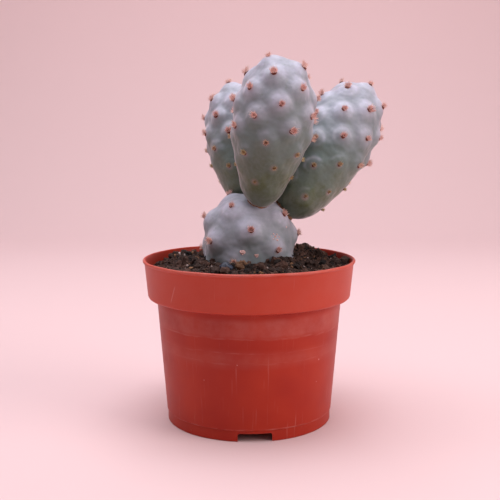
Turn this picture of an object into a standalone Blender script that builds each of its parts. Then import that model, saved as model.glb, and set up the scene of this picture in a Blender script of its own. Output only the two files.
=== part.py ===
"""A potted cactus: four plump, warty stem joints in a thin plastic nursery pot.

Metres, +Z up, standing on z = 0, with the origin under the middle of the whole
thing's outline. The oldest joint sits in the soil on a tap root, and three
younger, club-shaped joints grow out of its upper half. Every joint carries its
warts (tubercles) on a golden-angle spiral, one wart for each equal share of the
joint's skin.
"""
import math
from collections import namedtuple

import bmesh
import bpy
from mathutils import Euler, Vector, noise

MM = 0.001
CLEARANCE = 0.3 * MM          # gap between pieces that touch
SKIN_CLEARANCE = 0.5 * MM     # round a warty joint, whose warts have steep flanks
GOLDEN_ANGLE = math.radians(137.508)

# Pot: a moulded nursery pot with a rolled lip, a collar and a stacking step
POT_HEIGHT = 65.0 * MM
RIM_RADIUS = 42.5 * MM        # outside of the lip
BASE_RADIUS = 33.0 * MM       # outside of the foot ring
WALL = 1.0 * MM
LIP_HEIGHT = 1.3 * MM
LIP_OVERHANG = 0.7 * MM       # how far the lip stands proud of the collar
COLLAR_HEIGHT = 15.3 * MM     # from the rim down to the step
COLLAR_TAPER = 1.2 * MM       # the collar is this much narrower at its lower edge
STEP_WIDTH = 3.6 * MM
STEP_ROUNDING = 1.2 * MM
RING_HEIGHT = 4.7 * MM        # moulded line round the foot
RING_STEP = 0.4 * MM
FOOT_HEIGHT = 3.4 * MM        # the floor's underside above the table
NOTCH_WIDTH = 13.0 * MM
NOTCH_HEIGHT = 3.2 * MM
NOTCH_COUNT = 3
FIRST_NOTCH = math.radians(4.0)    # from the front towards the right
DRAIN_HOLE_RADIUS = 3.5 * MM
DRAIN_HOLE_INSET = 7.0 * MM   # from the outside of the foot to the hole's middle
POT_SEGMENTS = 60
ROUNDING_STEPS = 3

# Soil
SOIL_BELOW_RIM_LEFT = 4.4 * MM     # at the wall
SOIL_BELOW_RIM_RIGHT = 2.6 * MM
MOUND_HEIGHT = 3.4 * MM       # extra height against the plant
MOUND_REACH = 11.0 * MM       # how far the mound runs out
RIGHT_HEAP_HEIGHT = 3.4 * MM  # crumbs piled up behind the plant on the right
RIGHT_HEAP_BEARING = math.radians(133.0)
RIGHT_HEAP_FROM_WALL = 9.0 * MM
RIGHT_HEAP_REACH = 10.0 * MM
LEFT_HEAP_HEIGHT = 3.2 * MM   # and beside it on the left
LEFT_HEAP_BEARING = math.radians(-102.0)
LEFT_HEAP_FROM_WALL = 12.0 * MM
LEFT_HEAP_REACH = 7.0 * MM
BUMP_HEIGHT = 1.0 * MM
BUMP_SIZE = 6.0 * MM
EDGE_FADE = 6.0 * MM          # bumps and heaps die out this close to the wall
SOIL_RINGS = 11
LUMP_COUNT = 9
LUMP_SIZE = (4.6 * MM, 3.4 * MM, 3.8 * MM)
LUMP_FROM_PLANT = 7.0 * MM
LUMP_FROM_WALL = 5.5 * MM

# Plant: each joint's own sizes. The neck is its narrow lower end, and widest_at
# is how far its fullest ring is above its foot. The skin is divided into equal
# shares, one wart each, of which the first few next to the foot are bare. The
# spiral climbs anticlockwise, seen from the tip, where turn is 1.
JointSize = namedtuple(
    "JointSize",
    "length radius widest_at neck_radius foot_rounding swell "
    "skin_shares bare_shares spiral_start turn wart_height wart_radius")

BASE_JOINT = JointSize(
    length=44.8 * MM, radius=17.3 * MM, widest_at=27.0 * MM, neck_radius=17.0 * MM,
    foot_rounding=7.0 * MM, swell=1.0, skin_shares=32.2, bare_shares=6.9,
    spiral_start=math.radians(95.2), turn=1, wart_height=2.3 * MM, wart_radius=6.6 * MM)
CENTRE_JOINT = JointSize(
    length=56.7 * MM, radius=14.5 * MM, widest_at=32.2 * MM, neck_radius=7.0 * MM,
    foot_rounding=8.0 * MM, swell=1.6, skin_shares=44.0, bare_shares=6.0,
    spiral_start=math.radians(-108.7), turn=-1, wart_height=1.9 * MM, wart_radius=5.9 * MM)
RIGHT_JOINT = JointSize(
    length=64.4 * MM, radius=15.0 * MM, widest_at=36.4 * MM, neck_radius=5.9 * MM,
    foot_rounding=8.0 * MM, swell=0.7, skin_shares=47.7, bare_shares=3.7,
    spiral_start=math.radians(58.1), turn=-1, wart_height=1.9 * MM, wart_radius=5.9 * MM)
LEFT_JOINT = JointSize(
    length=50.2 * MM, radius=13.5 * MM, widest_at=27.2 * MM, neck_radius=7.1 * MM,
    foot_rounding=6.0 * MM, swell=1.1, skin_shares=45.8, bare_shares=6.8,
    spiral_start=math.radians(71.1), turn=-1, wart_height=1.8 * MM, wart_radius=5.4 * MM)
DOME_POWER = 2.2              # 2 is an ellipse, more is a blunter tip
LOW_WART_SHARE = 0.25         # old warts near the foot have stretched almost flat
FADE_FROM = 0.2               # shares of a joint's length between which they grow
FADE_TO = 0.7                 # from that to their full height
JOINT_COLUMNS = 30
JOINT_ROWS = 26

PLANT_DEPTH = 20.0 * MM       # the base joint's foot below the rim
SEAT_DEPTH = 0.8 * MM         # how far a young joint is sunk into the base joint
CROWDING_GAP = -1.3 * MM      # two joints' warts may mesh this deep, one beside the other
FOOT_GAP = -0.5 * MM          # the same for the bare necks, which narrow away from each other

# Where a young joint sits on the base joint, seen from the middle of that one's
# fullest ring, and how far the young joint leans. Bearings run from the front
# (-Y) towards the right (+X).
Seat = namedtuple("Seat", "bearing rise lean_right lean_front")
CENTRE_SEAT = Seat(
    bearing=math.radians(24.6), rise=math.radians(57.5),
    lean_right=math.radians(9.1), lean_front=math.radians(8.4))
RIGHT_SEAT = Seat(
    bearing=math.radians(90.5), rise=math.radians(39.5),
    lean_right=math.radians(33.3), lean_front=math.radians(-17.0))
LEFT_SEAT = Seat(
    bearing=math.radians(-177.5), rise=math.radians(57.2),
    lean_right=math.radians(-6.7), lean_front=math.radians(-17.3))

# Roots
TAP_RADIUS = 5.0 * MM
TAP_LENGTH = 28.0 * MM
TAP_TIP_RADIUS = 1.2 * MM
SIDE_ROOT_COUNT = 5
SIDE_ROOT_RADIUS = 1.5 * MM
SIDE_ROOT_TIP_RADIUS = 0.7 * MM
SIDE_ROOT_REACH = 19.0 * MM
SIDE_ROOT_DROP = 7.0 * MM
ROOT_SIDES = 8

# Heights and radii that follow from the sizes above
collar_bottom = POT_HEIGHT - COLLAR_HEIGHT
collar_top_radius = RIM_RADIUS - LIP_OVERHANG
collar_low_radius = collar_top_radius - COLLAR_TAPER
wall_top_radius = collar_low_radius - STEP_WIDTH
wall_foot_radius = BASE_RADIUS + RING_STEP
floor_top = FOOT_HEIGHT + WALL
shelf_height = collar_bottom + WALL
plant_foot = POT_HEIGHT - PLANT_DEPTH


def clear_scene():
    for thing in list(bpy.data.objects):
        bpy.data.objects.remove(thing, do_unlink=True)


def from_hex(code):
    """An sRGB colour such as B5432F, as the linear values that a shader takes."""
    channels = [int(code[i:i + 2], 16) / 255 for i in (0, 2, 4)]
    return [c / 12.92 if c <= 0.04045 else ((c + 0.055) / 1.055) ** 2.4 for c in channels]


def make_material(name, code, roughness):
    material = bpy.data.materials.new(name)
    material.use_nodes = True
    shader = material.node_tree.nodes["Principled BSDF"]
    shader.inputs["Base Color"].default_value = (*from_hex(code), 1.0)
    shader.inputs["Roughness"].default_value = roughness
    shader.inputs["Metallic"].default_value = 0.0
    return material


def finish_object(name, mesh_data, material, parent, smooth_angle=math.radians(40)):
    """Wrap a bmesh in a smooth-shaded object under the given parent."""
    bmesh.ops.recalc_face_normals(mesh_data, faces=mesh_data.faces)
    mesh = bpy.data.meshes.new(name)
    mesh_data.to_mesh(mesh)
    mesh_data.free()
    mesh.shade_smooth()
    mesh.set_sharp_from_angle(angle=smooth_angle)
    thing = bpy.data.objects.new(name, mesh)
    bpy.context.scene.collection.objects.link(thing)
    thing.parent = parent
    if material:
        mesh.materials.append(material)
    return thing


def make_cutter(name, mesh_data, parent):
    cutter = finish_object(name, mesh_data, None, parent)
    cutter.hide_render = True
    cutter.display_type = "WIRE"
    return cutter


def add_boolean(thing, operand, operation="DIFFERENCE"):
    modifier = thing.modifiers.new(f"{operation.lower()} {operand.name}", "BOOLEAN")
    modifier.operation = operation
    modifier.object = operand
    modifier.solver = "EXACT"


def stack_rings(rings, first_pole, last_pole):
    """A closed skin through rings of points, capped by a pole at each end."""
    mesh_data = bmesh.new()
    rows = [[mesh_data.verts.new(point) for point in ring] for ring in rings]
    start = mesh_data.verts.new(first_pole)
    end = mesh_data.verts.new(last_pole)
    count = len(rings[0])
    for i in range(count):
        j = (i + 1) % count
        mesh_data.faces.new((start, rows[0][j], rows[0][i]))
        for lower, upper in zip(rows, rows[1:]):
            mesh_data.faces.new((lower[i], lower[j], upper[j], upper[i]))
        mesh_data.faces.new((end, rows[-1][i], rows[-1][j]))
    return mesh_data


def turn(profile, segments):
    """Turn a profile of (radius, height) about Z; both its ends are on the axis."""
    angles = [math.tau * i / segments for i in range(segments)]
    rings = [
        [(radius * math.cos(a), radius * math.sin(a), height) for a in angles]
        for radius, height in profile[1:-1]]
    return stack_rings(rings, (0, 0, profile[0][1]), (0, 0, profile[-1][1]))


def arc(centre, radius, start, end, steps=ROUNDING_STEPS):
    """Points (radius, height) on an arc, angles in degrees from outwards to up."""
    angles = [math.radians(start + (end - start) * i / steps) for i in range(steps + 1)]
    return [(centre[0] + radius * math.cos(a), centre[1] + radius * math.sin(a)) for a in angles]


def wall_inner_radius(height):
    """Inside of the pot at a height, below or above the stacking step."""
    if height < shelf_height:
        share = (height - RING_HEIGHT) / (collar_bottom - RING_HEIGHT)
        return wall_foot_radius + (wall_top_radius - wall_foot_radius) * share - WALL
    share = (height - collar_bottom) / (COLLAR_HEIGHT - LIP_HEIGHT)
    return collar_low_radius + COLLAR_TAPER * share - WALL


def bearing_vector(bearing, distance, height=0.0):
    return Vector((distance * math.sin(bearing), -distance * math.cos(bearing), height))


# Pot

def pot_profile():
    bead = LIP_HEIGHT / 2
    inside = [
        (0, floor_top),
        (wall_inner_radius(floor_top), floor_top),
        (wall_top_radius - WALL, shelf_height),
        (wall_inner_radius(shelf_height) - STEP_ROUNDING, shelf_height),
        (wall_inner_radius(shelf_height), shelf_height + STEP_ROUNDING),
        (collar_top_radius - WALL, POT_HEIGHT - bead)]
    lip = arc((RIM_RADIUS - bead, POT_HEIGHT - bead), bead, 100, -80, steps=6)
    collar = [(collar_top_radius, POT_HEIGHT - LIP_HEIGHT)]
    corner = (collar_low_radius - STEP_ROUNDING, collar_bottom + STEP_ROUNDING)
    collar += arc(corner, STEP_ROUNDING, 0, -90)
    foot = [
        (wall_top_radius, collar_bottom),
        (wall_foot_radius, RING_HEIGHT),
        (BASE_RADIUS, RING_HEIGHT - RING_STEP),
        (BASE_RADIUS, 0),
        (BASE_RADIUS - WALL, 0),
        (BASE_RADIUS - WALL, FOOT_HEIGHT),
        (0, FOOT_HEIGHT)]
    return inside + lip + collar + foot


def make_pot(material, parent):
    pot = finish_object("pot", turn(pot_profile(), POT_SEGMENTS), material, parent)
    for i in range(NOTCH_COUNT):
        bearing = FIRST_NOTCH + math.tau * i / NOTCH_COUNT
        notch = bmesh.new()
        bmesh.ops.create_cube(notch, size=1.0)
        depth = 4 * WALL
        bmesh.ops.scale(notch, vec=(NOTCH_WIDTH, 2 * depth, 2 * NOTCH_HEIGHT), verts=notch.verts)
        cutter = make_cutter(f"notch_{i + 1}", notch, parent)
        cutter.location = bearing_vector(bearing, BASE_RADIUS)
        cutter.rotation_euler.z = bearing
        add_boolean(pot, cutter)

        hole = bmesh.new()
        bmesh.ops.create_cone(
            hole, cap_ends=True, segments=20, radius1=DRAIN_HOLE_RADIUS,
            radius2=DRAIN_HOLE_RADIUS, depth=4 * WALL)
        cutter = make_cutter(f"drain_hole_{i + 1}", hole, parent)
        hole_middle = FOOT_HEIGHT + WALL / 2
        cutter.location = bearing_vector(bearing, BASE_RADIUS - DRAIN_HOLE_INSET, hole_middle)
        add_boolean(pot, cutter)
    return pot


# Soil

def soil_height(x, y):
    """Height of the soil's surface: a slope, a mound round the plant, heaps, bumps."""
    distance = math.hypot(x, y)
    across = 0.5 + 0.5 * x / RIM_RADIUS
    below_rim = SOIL_BELOW_RIM_LEFT + (SOIL_BELOW_RIM_RIGHT - SOIL_BELOW_RIM_LEFT) * across
    level = POT_HEIGHT - below_rim
    from_wall = wall_inner_radius(level) - distance
    fade = min(1.0, max(0.0, from_wall / EDGE_FADE)) ** 1.5
    from_plant = max(0.0, distance - BASE_JOINT.radius)
    mound = MOUND_HEIGHT * math.exp(-(from_plant / MOUND_REACH) ** 2)
    heap = 0.0
    for height, bearing, from_wall, reach in (
            (RIGHT_HEAP_HEIGHT, RIGHT_HEAP_BEARING, RIGHT_HEAP_FROM_WALL, RIGHT_HEAP_REACH),
            (LEFT_HEAP_HEIGHT, LEFT_HEAP_BEARING, LEFT_HEAP_FROM_WALL, LEFT_HEAP_REACH)):
        place = bearing_vector(bearing, wall_inner_radius(level) - from_wall)
        distance = math.hypot(x - place.x, y - place.y)
        heap += height * math.exp(-(distance / reach) ** 2)
    bumps = BUMP_HEIGHT * noise.noise(Vector((x, y, 0)) / BUMP_SIZE)
    return level + fade * (mound + heap + bumps)


def soil_skin(raise_by=0.0):
    """The soil as one closed skin that follows the inside of the pot."""
    angles = [math.tau * i / POT_SEGMENTS for i in range(POT_SEGMENTS)]
    floor = floor_top + CLEARANCE
    shelf = shelf_height + CLEARANCE
    low_radius = wall_inner_radius(floor_top) - CLEARANCE
    high_radius = wall_inner_radius(shelf) - CLEARANCE
    sides = [
        (low_radius, floor),
        (wall_top_radius - WALL - CLEARANCE, shelf),
        (high_radius - STEP_ROUNDING, shelf),
        (high_radius, shelf + STEP_ROUNDING)]
    rings = [[(r * math.cos(a), r * math.sin(a), z) for a in angles] for r, z in sides]
    edge_radius = wall_inner_radius(POT_HEIGHT - SOIL_BELOW_RIM_LEFT) - CLEARANCE
    for k in range(SOIL_RINGS):
        radius = edge_radius * (1 - k / SOIL_RINGS)
        ring = []
        for a in angles:
            x = radius * math.cos(a)
            y = radius * math.sin(a)
            ring.append((x, y, soil_height(x, y) + raise_by))
        rings.append(ring)
    middle = soil_height(0, 0) + raise_by
    return stack_rings(rings, (0, 0, floor), (0, 0, middle))


def make_lump(name, bearing, distance, size, material, parent, soil_cutter):
    """A crumb half sunk in the soil's surface, its underside shaped by the soil."""
    crumb = bmesh.new()
    bmesh.ops.create_icosphere(crumb, subdivisions=2, radius=0.5)
    place = bearing_vector(bearing, distance)
    for vertex in crumb.verts:
        roughness = 1 + 0.5 * noise.noise(vertex.co * 2.3 + place / MM)
        vertex.co = Vector(a * b for a, b in zip(vertex.co * roughness, size))
    lump = finish_object(name, crumb, material, parent, math.radians(30))
    place.z = soil_height(place.x, place.y) + 0.25 * size[2]
    lump.location = place
    lump.rotation_euler = (0.3 * math.sin(bearing), 0.3 * math.cos(bearing), 2 * bearing)
    add_boolean(lump, soil_cutter)
    return lump


# Plant

def meridian(size, steps=400):
    """The joint's outline, (radius, height) from its foot to its tip."""
    points = []
    for i in range(steps + 1):
        height = size.length * i / steps
        if height <= size.widest_at:
            swell = math.sin(math.pi / 2 * height / size.widest_at) ** size.swell
            radius = size.neck_radius + (size.radius - size.neck_radius) * swell
            foot = 1 - min(1.0, height / size.foot_rounding)
            radius *= math.sqrt(1 - foot * foot)
        else:
            up = (height - size.widest_at) / (size.length - size.widest_at)
            radius = size.radius * math.sqrt(max(0.0, 1 - up ** DOME_POWER))
        points.append((radius, height))
    return points


def walk(outline, by_area, shares):
    """Points at given shares of an outline's length, or of the skin it sweeps.

    Gives (radius, height, outward slope as a unit (radial, axial) pair)."""
    totals = [0.0]
    for (r0, z0), (r1, z1) in zip(outline, outline[1:]):
        piece = math.hypot(r1 - r0, z1 - z0)
        totals.append(totals[-1] + piece * ((r0 + r1) / 2 if by_area else 1.0))
    found = []
    k = 0
    for share in shares:
        target = share * totals[-1]
        while k < len(outline) - 2 and totals[k + 1] < target:
            k += 1
        (r0, z0), (r1, z1) = outline[k], outline[k + 1]
        t = (target - totals[k]) / (totals[k + 1] - totals[k])
        step = math.hypot(r1 - r0, z1 - z0)
        slope = ((z1 - z0) / step, (r0 - r1) / step)
        found.append((r0 + (r1 - r0) * t, z0 + (z1 - z0) * t, slope))
    return found


def wart_places(size):
    """Foot of each wart on the bare skin: a golden-angle spiral, equal shares."""
    count = int(size.skin_shares - size.bare_shares)
    shares = [(i + size.bare_shares) / size.skin_shares for i in range(count)]
    places = []
    for i, (radius, height, _) in enumerate(walk(meridian(size), True, shares)):
        angle = size.spiral_start + size.turn * i * GOLDEN_ANGLE
        places.append(Vector((radius * math.cos(angle), radius * math.sin(angle), height)))
    return places


def full_rise(size, height):
    """How far a wart stands out at a height: little near the foot, all of it above."""
    share = (height / size.length - FADE_FROM) / (FADE_TO - FADE_FROM)
    share = min(1.0, max(0.0, share))
    share *= share * (3 - 2 * share)
    return size.wart_height * (LOW_WART_SHARE + (1 - LOW_WART_SHARE) * share)


def wart_rise(size, places, point):
    """How far the skin stands out at a point, as a smooth blend of round domes."""
    rise = 0.0
    for place in places:
        reach = (point - place).length / size.wart_radius
        if reach < 1:
            rise += (1 - reach * reach) ** 2
    return full_rise(size, point.z) * min(1.0, rise)


def joint_skin(size, grow=0.0):
    """A joint standing on the origin: its outline turned, with warts raised on it."""
    outline = meridian(size)
    places = wart_places(size)
    rows = walk(outline, False, [i / JOINT_ROWS for i in range(1, JOINT_ROWS)])
    rings = []
    for radius, height, (radial, axial) in rows:
        ring = []
        for i in range(JOINT_COLUMNS):
            angle = math.tau * i / JOINT_COLUMNS
            point = Vector((radius * math.cos(angle), radius * math.sin(angle), height))
            outward = Vector((radial * math.cos(angle), radial * math.sin(angle), axial))
            ring.append(point + outward * (wart_rise(size, places, point) + grow))
        rings.append(ring)
    tip = Vector((0, 0, size.length))
    tip.z += wart_rise(size, places, tip) + grow
    return stack_rings(rings, (0, 0, -grow), tip)


def seat_point(bearing, rise):
    """Place on the base joint's bare skin in a direction from its fullest ring."""
    def miss(point):
        return abs(math.atan2(point[1] - BASE_JOINT.widest_at, point[0]) - rise)

    upper = [p for p in meridian(BASE_JOINT) if p[1] >= BASE_JOINT.widest_at]
    radius, height = min(upper, key=miss)
    return bearing_vector(bearing, radius, plant_foot + height)


def tightest_gap(balls, others):
    return min(((a - b).length - r - q for a, r in balls for b, q in others), default=1.0)


def place_young_joint(size, seat, crowd):
    """Rotation and foot of a young joint, and the balls that fill its body.

    It sits and leans as its seat says. Where the joints that it is crowded by
    are in the way, it slides down the base joint's shoulder until its foot has
    room, and leans further until its warts do."""
    slide = 0.0
    spread = 1.0
    outline = [(r, z) for r, z in meridian(size, steps=40) if z > size.foot_rounding]
    while True:
        rotation = Euler((seat.lean_front * spread, seat.lean_right * spread, 0))
        axis = rotation.to_matrix() @ Vector((0, 0, 1))
        foot = seat_point(seat.bearing, seat.rise - slide) - axis * SEAT_DEPTH
        low = [(foot + axis * z, r) for r, z in outline if z < size.widest_at / 2]
        high = [
            (foot + axis * z, r + full_rise(size, z))
            for r, z in outline if z >= size.widest_at / 2]
        if tightest_gap(low, crowd["low"]) < FOOT_GAP:
            slide += math.radians(1)
        elif tightest_gap(high, crowd["high"]) < CROWDING_GAP:
            spread += 0.01
        else:
            crowd["low"] += low
            crowd["high"] += high
            return rotation, foot


def make_young_joint(name, size, rotation, foot, material, parent, mother_cutter):
    """A club-shaped joint whose foot is shaped by the base joint that it sits on."""
    joint = finish_object(name, joint_skin(size), material, parent)
    joint.rotation_euler = rotation
    joint.location = foot
    add_boolean(joint, mother_cutter)
    return joint


# Roots

def tapered_tube(points, start_radius, end_radius, grow=0.0):
    """A round, tapered, closed tube along points, its ends flat but for a low tip."""
    last = len(points) - 1
    rings = []
    for i, point in enumerate(points):
        ahead = points[min(i + 1, last)] - points[max(i - 1, 0)]
        turn_to = ahead.to_track_quat("Z", "Y")
        radius = start_radius + (end_radius - start_radius) * i / last + grow
        ring = []
        for k in range(ROOT_SIDES):
            a = math.tau * k / ROOT_SIDES
            ring.append(point + turn_to @ Vector((radius * math.cos(a), radius * math.sin(a), 0)))
        rings.append(ring)
    start_out = (points[0] - points[1]).normalized() * (grow + 0.2 * MM)
    end_out = (points[-1] - points[-2]).normalized() * (grow + end_radius)
    return stack_rings(rings, points[0] + start_out, points[-1] + end_out)


def tap_points():
    top = plant_foot - CLEARANCE - 0.2 * MM
    return [Vector((0, 0, top - TAP_LENGTH * i / 6)) for i in range(7)]


def side_root_points(index):
    """From inside the tap root outwards and down, level with its own spiral turn."""
    bearing = index * GOLDEN_ANGLE
    share = 0.2 + 0.5 * index / SIDE_ROOT_COUNT
    start_height = plant_foot - TAP_LENGTH * share
    steps = 5
    points = []
    for i in range(steps + 1):
        out = i / steps
        sweep = bearing + 0.5 * out * out
        distance = TAP_TIP_RADIUS / 2 + SIDE_ROOT_REACH * out
        points.append(bearing_vector(sweep, distance, start_height - SIDE_ROOT_DROP * out * out))
    return points


def make_roots(material, parent):
    roots = finish_object(
        "roots", tapered_tube(tap_points(), TAP_RADIUS, TAP_TIP_RADIUS), material, parent)
    for i in range(SIDE_ROOT_COUNT):
        tube = tapered_tube(side_root_points(i), SIDE_ROOT_RADIUS, SIDE_ROOT_TIP_RADIUS)
        add_boolean(roots, make_cutter(f"side_root_{i + 1}", tube, parent), "UNION")
    return roots


def root_cutters(parent):
    """The roots again, grown by the clearance, to hollow out their place in the soil."""
    tap = tapered_tube(tap_points(), TAP_RADIUS, TAP_TIP_RADIUS, CLEARANCE)
    cutters = [make_cutter("tap_root_space", tap, parent)]
    for i in range(SIDE_ROOT_COUNT):
        tube = tapered_tube(
            side_root_points(i), SIDE_ROOT_RADIUS, SIDE_ROOT_TIP_RADIUS, CLEARANCE)
        cutters.append(make_cutter(f"side_root_space_{i + 1}", tube, parent))
    return cutters


# Assembly

def centre_outline(parent, pieces):
    """Move the whole thing so that its outline's middle is over the origin."""
    bpy.context.view_layer.update()
    depsgraph = bpy.context.evaluated_depsgraph_get()
    corners = []
    for piece in pieces:
        mesh = piece.evaluated_get(depsgraph).to_mesh()
        corners += [piece.matrix_world @ vertex.co for vertex in mesh.vertices]
    for axis in (0, 1):
        values = [corner[axis] for corner in corners]
        parent.location[axis] = -(min(values) + max(values)) / 2
    bpy.context.view_layer.update()


def build():
    clear_scene()
    plastic = make_material("terracotta plastic", "B04030", 0.42)
    peat = make_material("peat", "33241F", 0.95)
    skin = make_material("waxy blue skin", "9AA0AC", 0.6)
    root_bark = make_material("root bark", "8A6A4A", 0.85)
    stone = make_material("grey stone", "6F7280", 0.7)
    bark = make_material("pine bark", "7A5236", 0.9)

    whole = bpy.data.objects.new("potted_cactus", None)
    bpy.context.scene.collection.objects.link(whole)

    pieces = [make_pot(plastic, whole)]

    base_cutter = make_cutter("base_joint_space", joint_skin(BASE_JOINT, SKIN_CLEARANCE), whole)
    base_cutter.location.z = plant_foot

    soil = finish_object("soil", soil_skin(), peat, whole, math.radians(60))
    for cutter in [base_cutter] + root_cutters(whole):
        add_boolean(soil, cutter)
    pieces.append(soil)
    pieces.append(make_roots(root_bark, whole))

    base_joint = finish_object("base_joint", joint_skin(BASE_JOINT), skin, whole)
    base_joint.location.z = plant_foot
    pieces.append(base_joint)
    crowd = {"low": [], "high": []}
    for name, size, seat in (
            ("centre_joint", CENTRE_JOINT, CENTRE_SEAT),
            ("right_joint", RIGHT_JOINT, RIGHT_SEAT),
            ("left_joint", LEFT_JOINT, LEFT_SEAT)):
        rotation, foot = place_young_joint(size, seat, crowd)
        pieces.append(make_young_joint(name, size, rotation, foot, skin, whole, base_cutter))

    soil_cutter = make_cutter("soil_space", soil_skin(CLEARANCE), whole)
    nearest = BASE_JOINT.radius + LUMP_FROM_PLANT
    farthest = wall_inner_radius(POT_HEIGHT - SOIL_BELOW_RIM_LEFT) - LUMP_FROM_WALL
    stone_size = (6.0 * MM, 3.8 * MM, 4.6 * MM)
    pieces.append(make_lump(
        "grey_stone", math.radians(-21.5), nearest, stone_size, stone, whole, soil_cutter))
    chip_size = (7.0 * MM, 3.6 * MM, 4.2 * MM)
    pieces.append(make_lump(
        "bark_chip", math.radians(-4.5), nearest, chip_size, bark, whole, soil_cutter))
    for i in range(LUMP_COUNT):
        share = math.sqrt((i + 0.5) / LUMP_COUNT)
        pieces.append(make_lump(
            f"peat_lump_{i + 1}", math.radians(60) + i * GOLDEN_ANGLE,
            nearest + (farthest - nearest) * share, LUMP_SIZE, peat, whole, soil_cutter))

    centre_outline(whole, pieces)


build()
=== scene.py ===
# %% [markdown]
# # A warty cactus in a nursery pot
#
# Four plump joints of a spineless prickly-pear relative stand in a thin terracotta
# coloured plastic pot. The lesson makes, in this order: the light and the camera,
# the moulded pot, the joints with their warts in a golden-angle spiral, the tufts
# of fine bristles (glochids) on every wart, the corky rims where joint meets joint,
# the potting soil with its crumbs and grit, and the finish of each of them.
#
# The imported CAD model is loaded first. It never moves, and it says where things are.

# %% Load the fixed frame
import math
from functools import partial, reduce

import bmesh
import bpy
from mathutils import Euler, Matrix, Vector, noise
from mathutils.bvhtree import BVHTree


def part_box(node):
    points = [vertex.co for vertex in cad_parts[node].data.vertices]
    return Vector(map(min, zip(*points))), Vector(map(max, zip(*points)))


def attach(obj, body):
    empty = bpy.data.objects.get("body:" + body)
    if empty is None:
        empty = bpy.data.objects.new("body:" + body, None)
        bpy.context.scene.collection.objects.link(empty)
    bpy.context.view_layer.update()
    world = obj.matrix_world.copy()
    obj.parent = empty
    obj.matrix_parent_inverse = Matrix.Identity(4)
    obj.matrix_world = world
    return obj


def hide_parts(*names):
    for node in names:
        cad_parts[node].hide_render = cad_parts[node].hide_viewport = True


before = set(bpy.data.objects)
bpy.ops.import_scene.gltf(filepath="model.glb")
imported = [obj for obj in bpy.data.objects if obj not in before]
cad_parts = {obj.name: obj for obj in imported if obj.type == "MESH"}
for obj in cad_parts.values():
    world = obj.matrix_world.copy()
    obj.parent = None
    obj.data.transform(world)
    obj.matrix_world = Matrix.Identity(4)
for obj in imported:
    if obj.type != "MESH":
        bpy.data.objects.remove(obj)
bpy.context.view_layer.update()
MM = 0.001
GOLDEN_ANGLE = math.radians(137.508)

pot_low, pot_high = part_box("pot")
POT_AXIS = Vector(((pot_low.x + pot_high.x) / 2, (pot_low.y + pot_high.y) / 2, 0))
TO_FRAME = Matrix.Translation(POT_AXIS)     # from the pot's own axis to its place
RIM_HEIGHT = pot_high.z
RIM_RADIUS = (pot_high.x - pot_low.x) / 2
print(f"rim {RIM_HEIGHT / MM:.1f} mm high, {2 * RIM_RADIUS / MM:.1f} mm across")

# %% [markdown]
# ## Two helpers for every node tree
#
# Shader trees and geometry trees are both graphs of nodes, so one function can add
# a node to either: settings first, because they decide which sockets a node has,
# then a link or a plain value for each socket, in the order that the node shows them.
# The kind may end with the node's mode, such as "Math ADD". New trees hand the function
# over as add, already tied to them.
# Colours are picked in sRGB, but light is added up in linear values, so one
# function turns the first into the second.

# %% Add a node, turn a colour, start a material
FAMILIES = ("ShaderNode", "GeometryNode", "FunctionNode", "")


def plug(socket, value):
    """Link a socket to a node or an output, or give it a plain value."""
    if isinstance(value, bpy.types.Node):
        value = next(out for out in value.outputs if out.enabled)
    if isinstance(value, bpy.types.NodeSocket):
        socket.id_data.links.new(value, socket)
    elif value is not None:
        socket.default_value = value


def add_node(tree, kind, *values, named=None, **settings):
    """A node of a kind such as "Mix RGBA", with its settings and what its sockets take."""
    kind, _, mode = kind.partition(" ")
    family = next(name for name in FAMILIES if hasattr(bpy.types, name + kind))
    made = tree.nodes.new(family + kind)
    if mode:
        settings["operation" if hasattr(made, "operation") else "data_type"] = mode
    for setting, value in settings.items():
        setattr(made, setting, value)
    shown = [socket for socket in made.inputs if socket.enabled]
    for socket, value in zip(shown, values):
        plug(socket, value)
    for name, value in (named or {}).items():
        plug(made.inputs[name], value)
    return made


def srgb(code):
    """An sRGB hex colour as the linear RGBA that a shader takes."""
    channels = [int(code[i:i + 2], 16) / 255 for i in (0, 2, 4)]
    linear = [c / 12.92 if c <= 0.04045 else ((c + 0.055) / 1.055) ** 2.4 for c in channels]
    return (*linear, 1)


def wire(shader, **sockets):
    """A plain value, or a link where it varies, for each of the shader's own sockets."""
    for label, value in sockets.items():
        plug(shader.inputs[label.replace("_", " ")], value)


def new_material(name, **constants):
    """A material with its constants, the function that adds its nodes, and its shader."""
    material = bpy.data.materials.new(name)
    material.use_nodes = True
    shader = material.node_tree.nodes["Principled BSDF"]
    wire(shader, **constants)
    print(f"{name}: material")
    return material, partial(add_node, material.node_tree), shader


def per_metre(size):
    """Texture scale whose features are about this size, given in metres."""
    return 1.0 / size


# %% [markdown]
# ## Camera, floor and light
#
# The plant stands on a pale sheet that sweeps up behind it, so no edge shows. The
# light of a bright room comes from a large soft panel overhead, with a second one
# to the right that lightens that side of the pot. Large panels give soft shadows.

# %% Camera
CAMERA_PLACE = Vector((0.4, -336.0, 113.4)) * MM
CAMERA_PITCH = math.radians(7.69)

camera_data = bpy.data.cameras.new("camera")
camera_data.sensor_width = 36.0
camera_data.lens = 60.8
camera_data.clip_start = 0.01
camera = bpy.data.objects.new("camera", camera_data)
camera.location = CAMERA_PLACE + POT_AXIS
camera.rotation_euler = (math.pi / 2 - CAMERA_PITCH, 0, 0)
bpy.context.scene.collection.objects.link(camera)
bpy.context.scene.camera = camera
bpy.context.scene.view_settings.view_transform = "Standard"

# %% Floor
SWEEP_NEAR = -1.2
SWEEP_BACK = 0.55
SWEEP_RADIUS = 0.35
SWEEP_HALF_WIDTH = 2.0
SWEEP_TOP = 1.6

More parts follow.
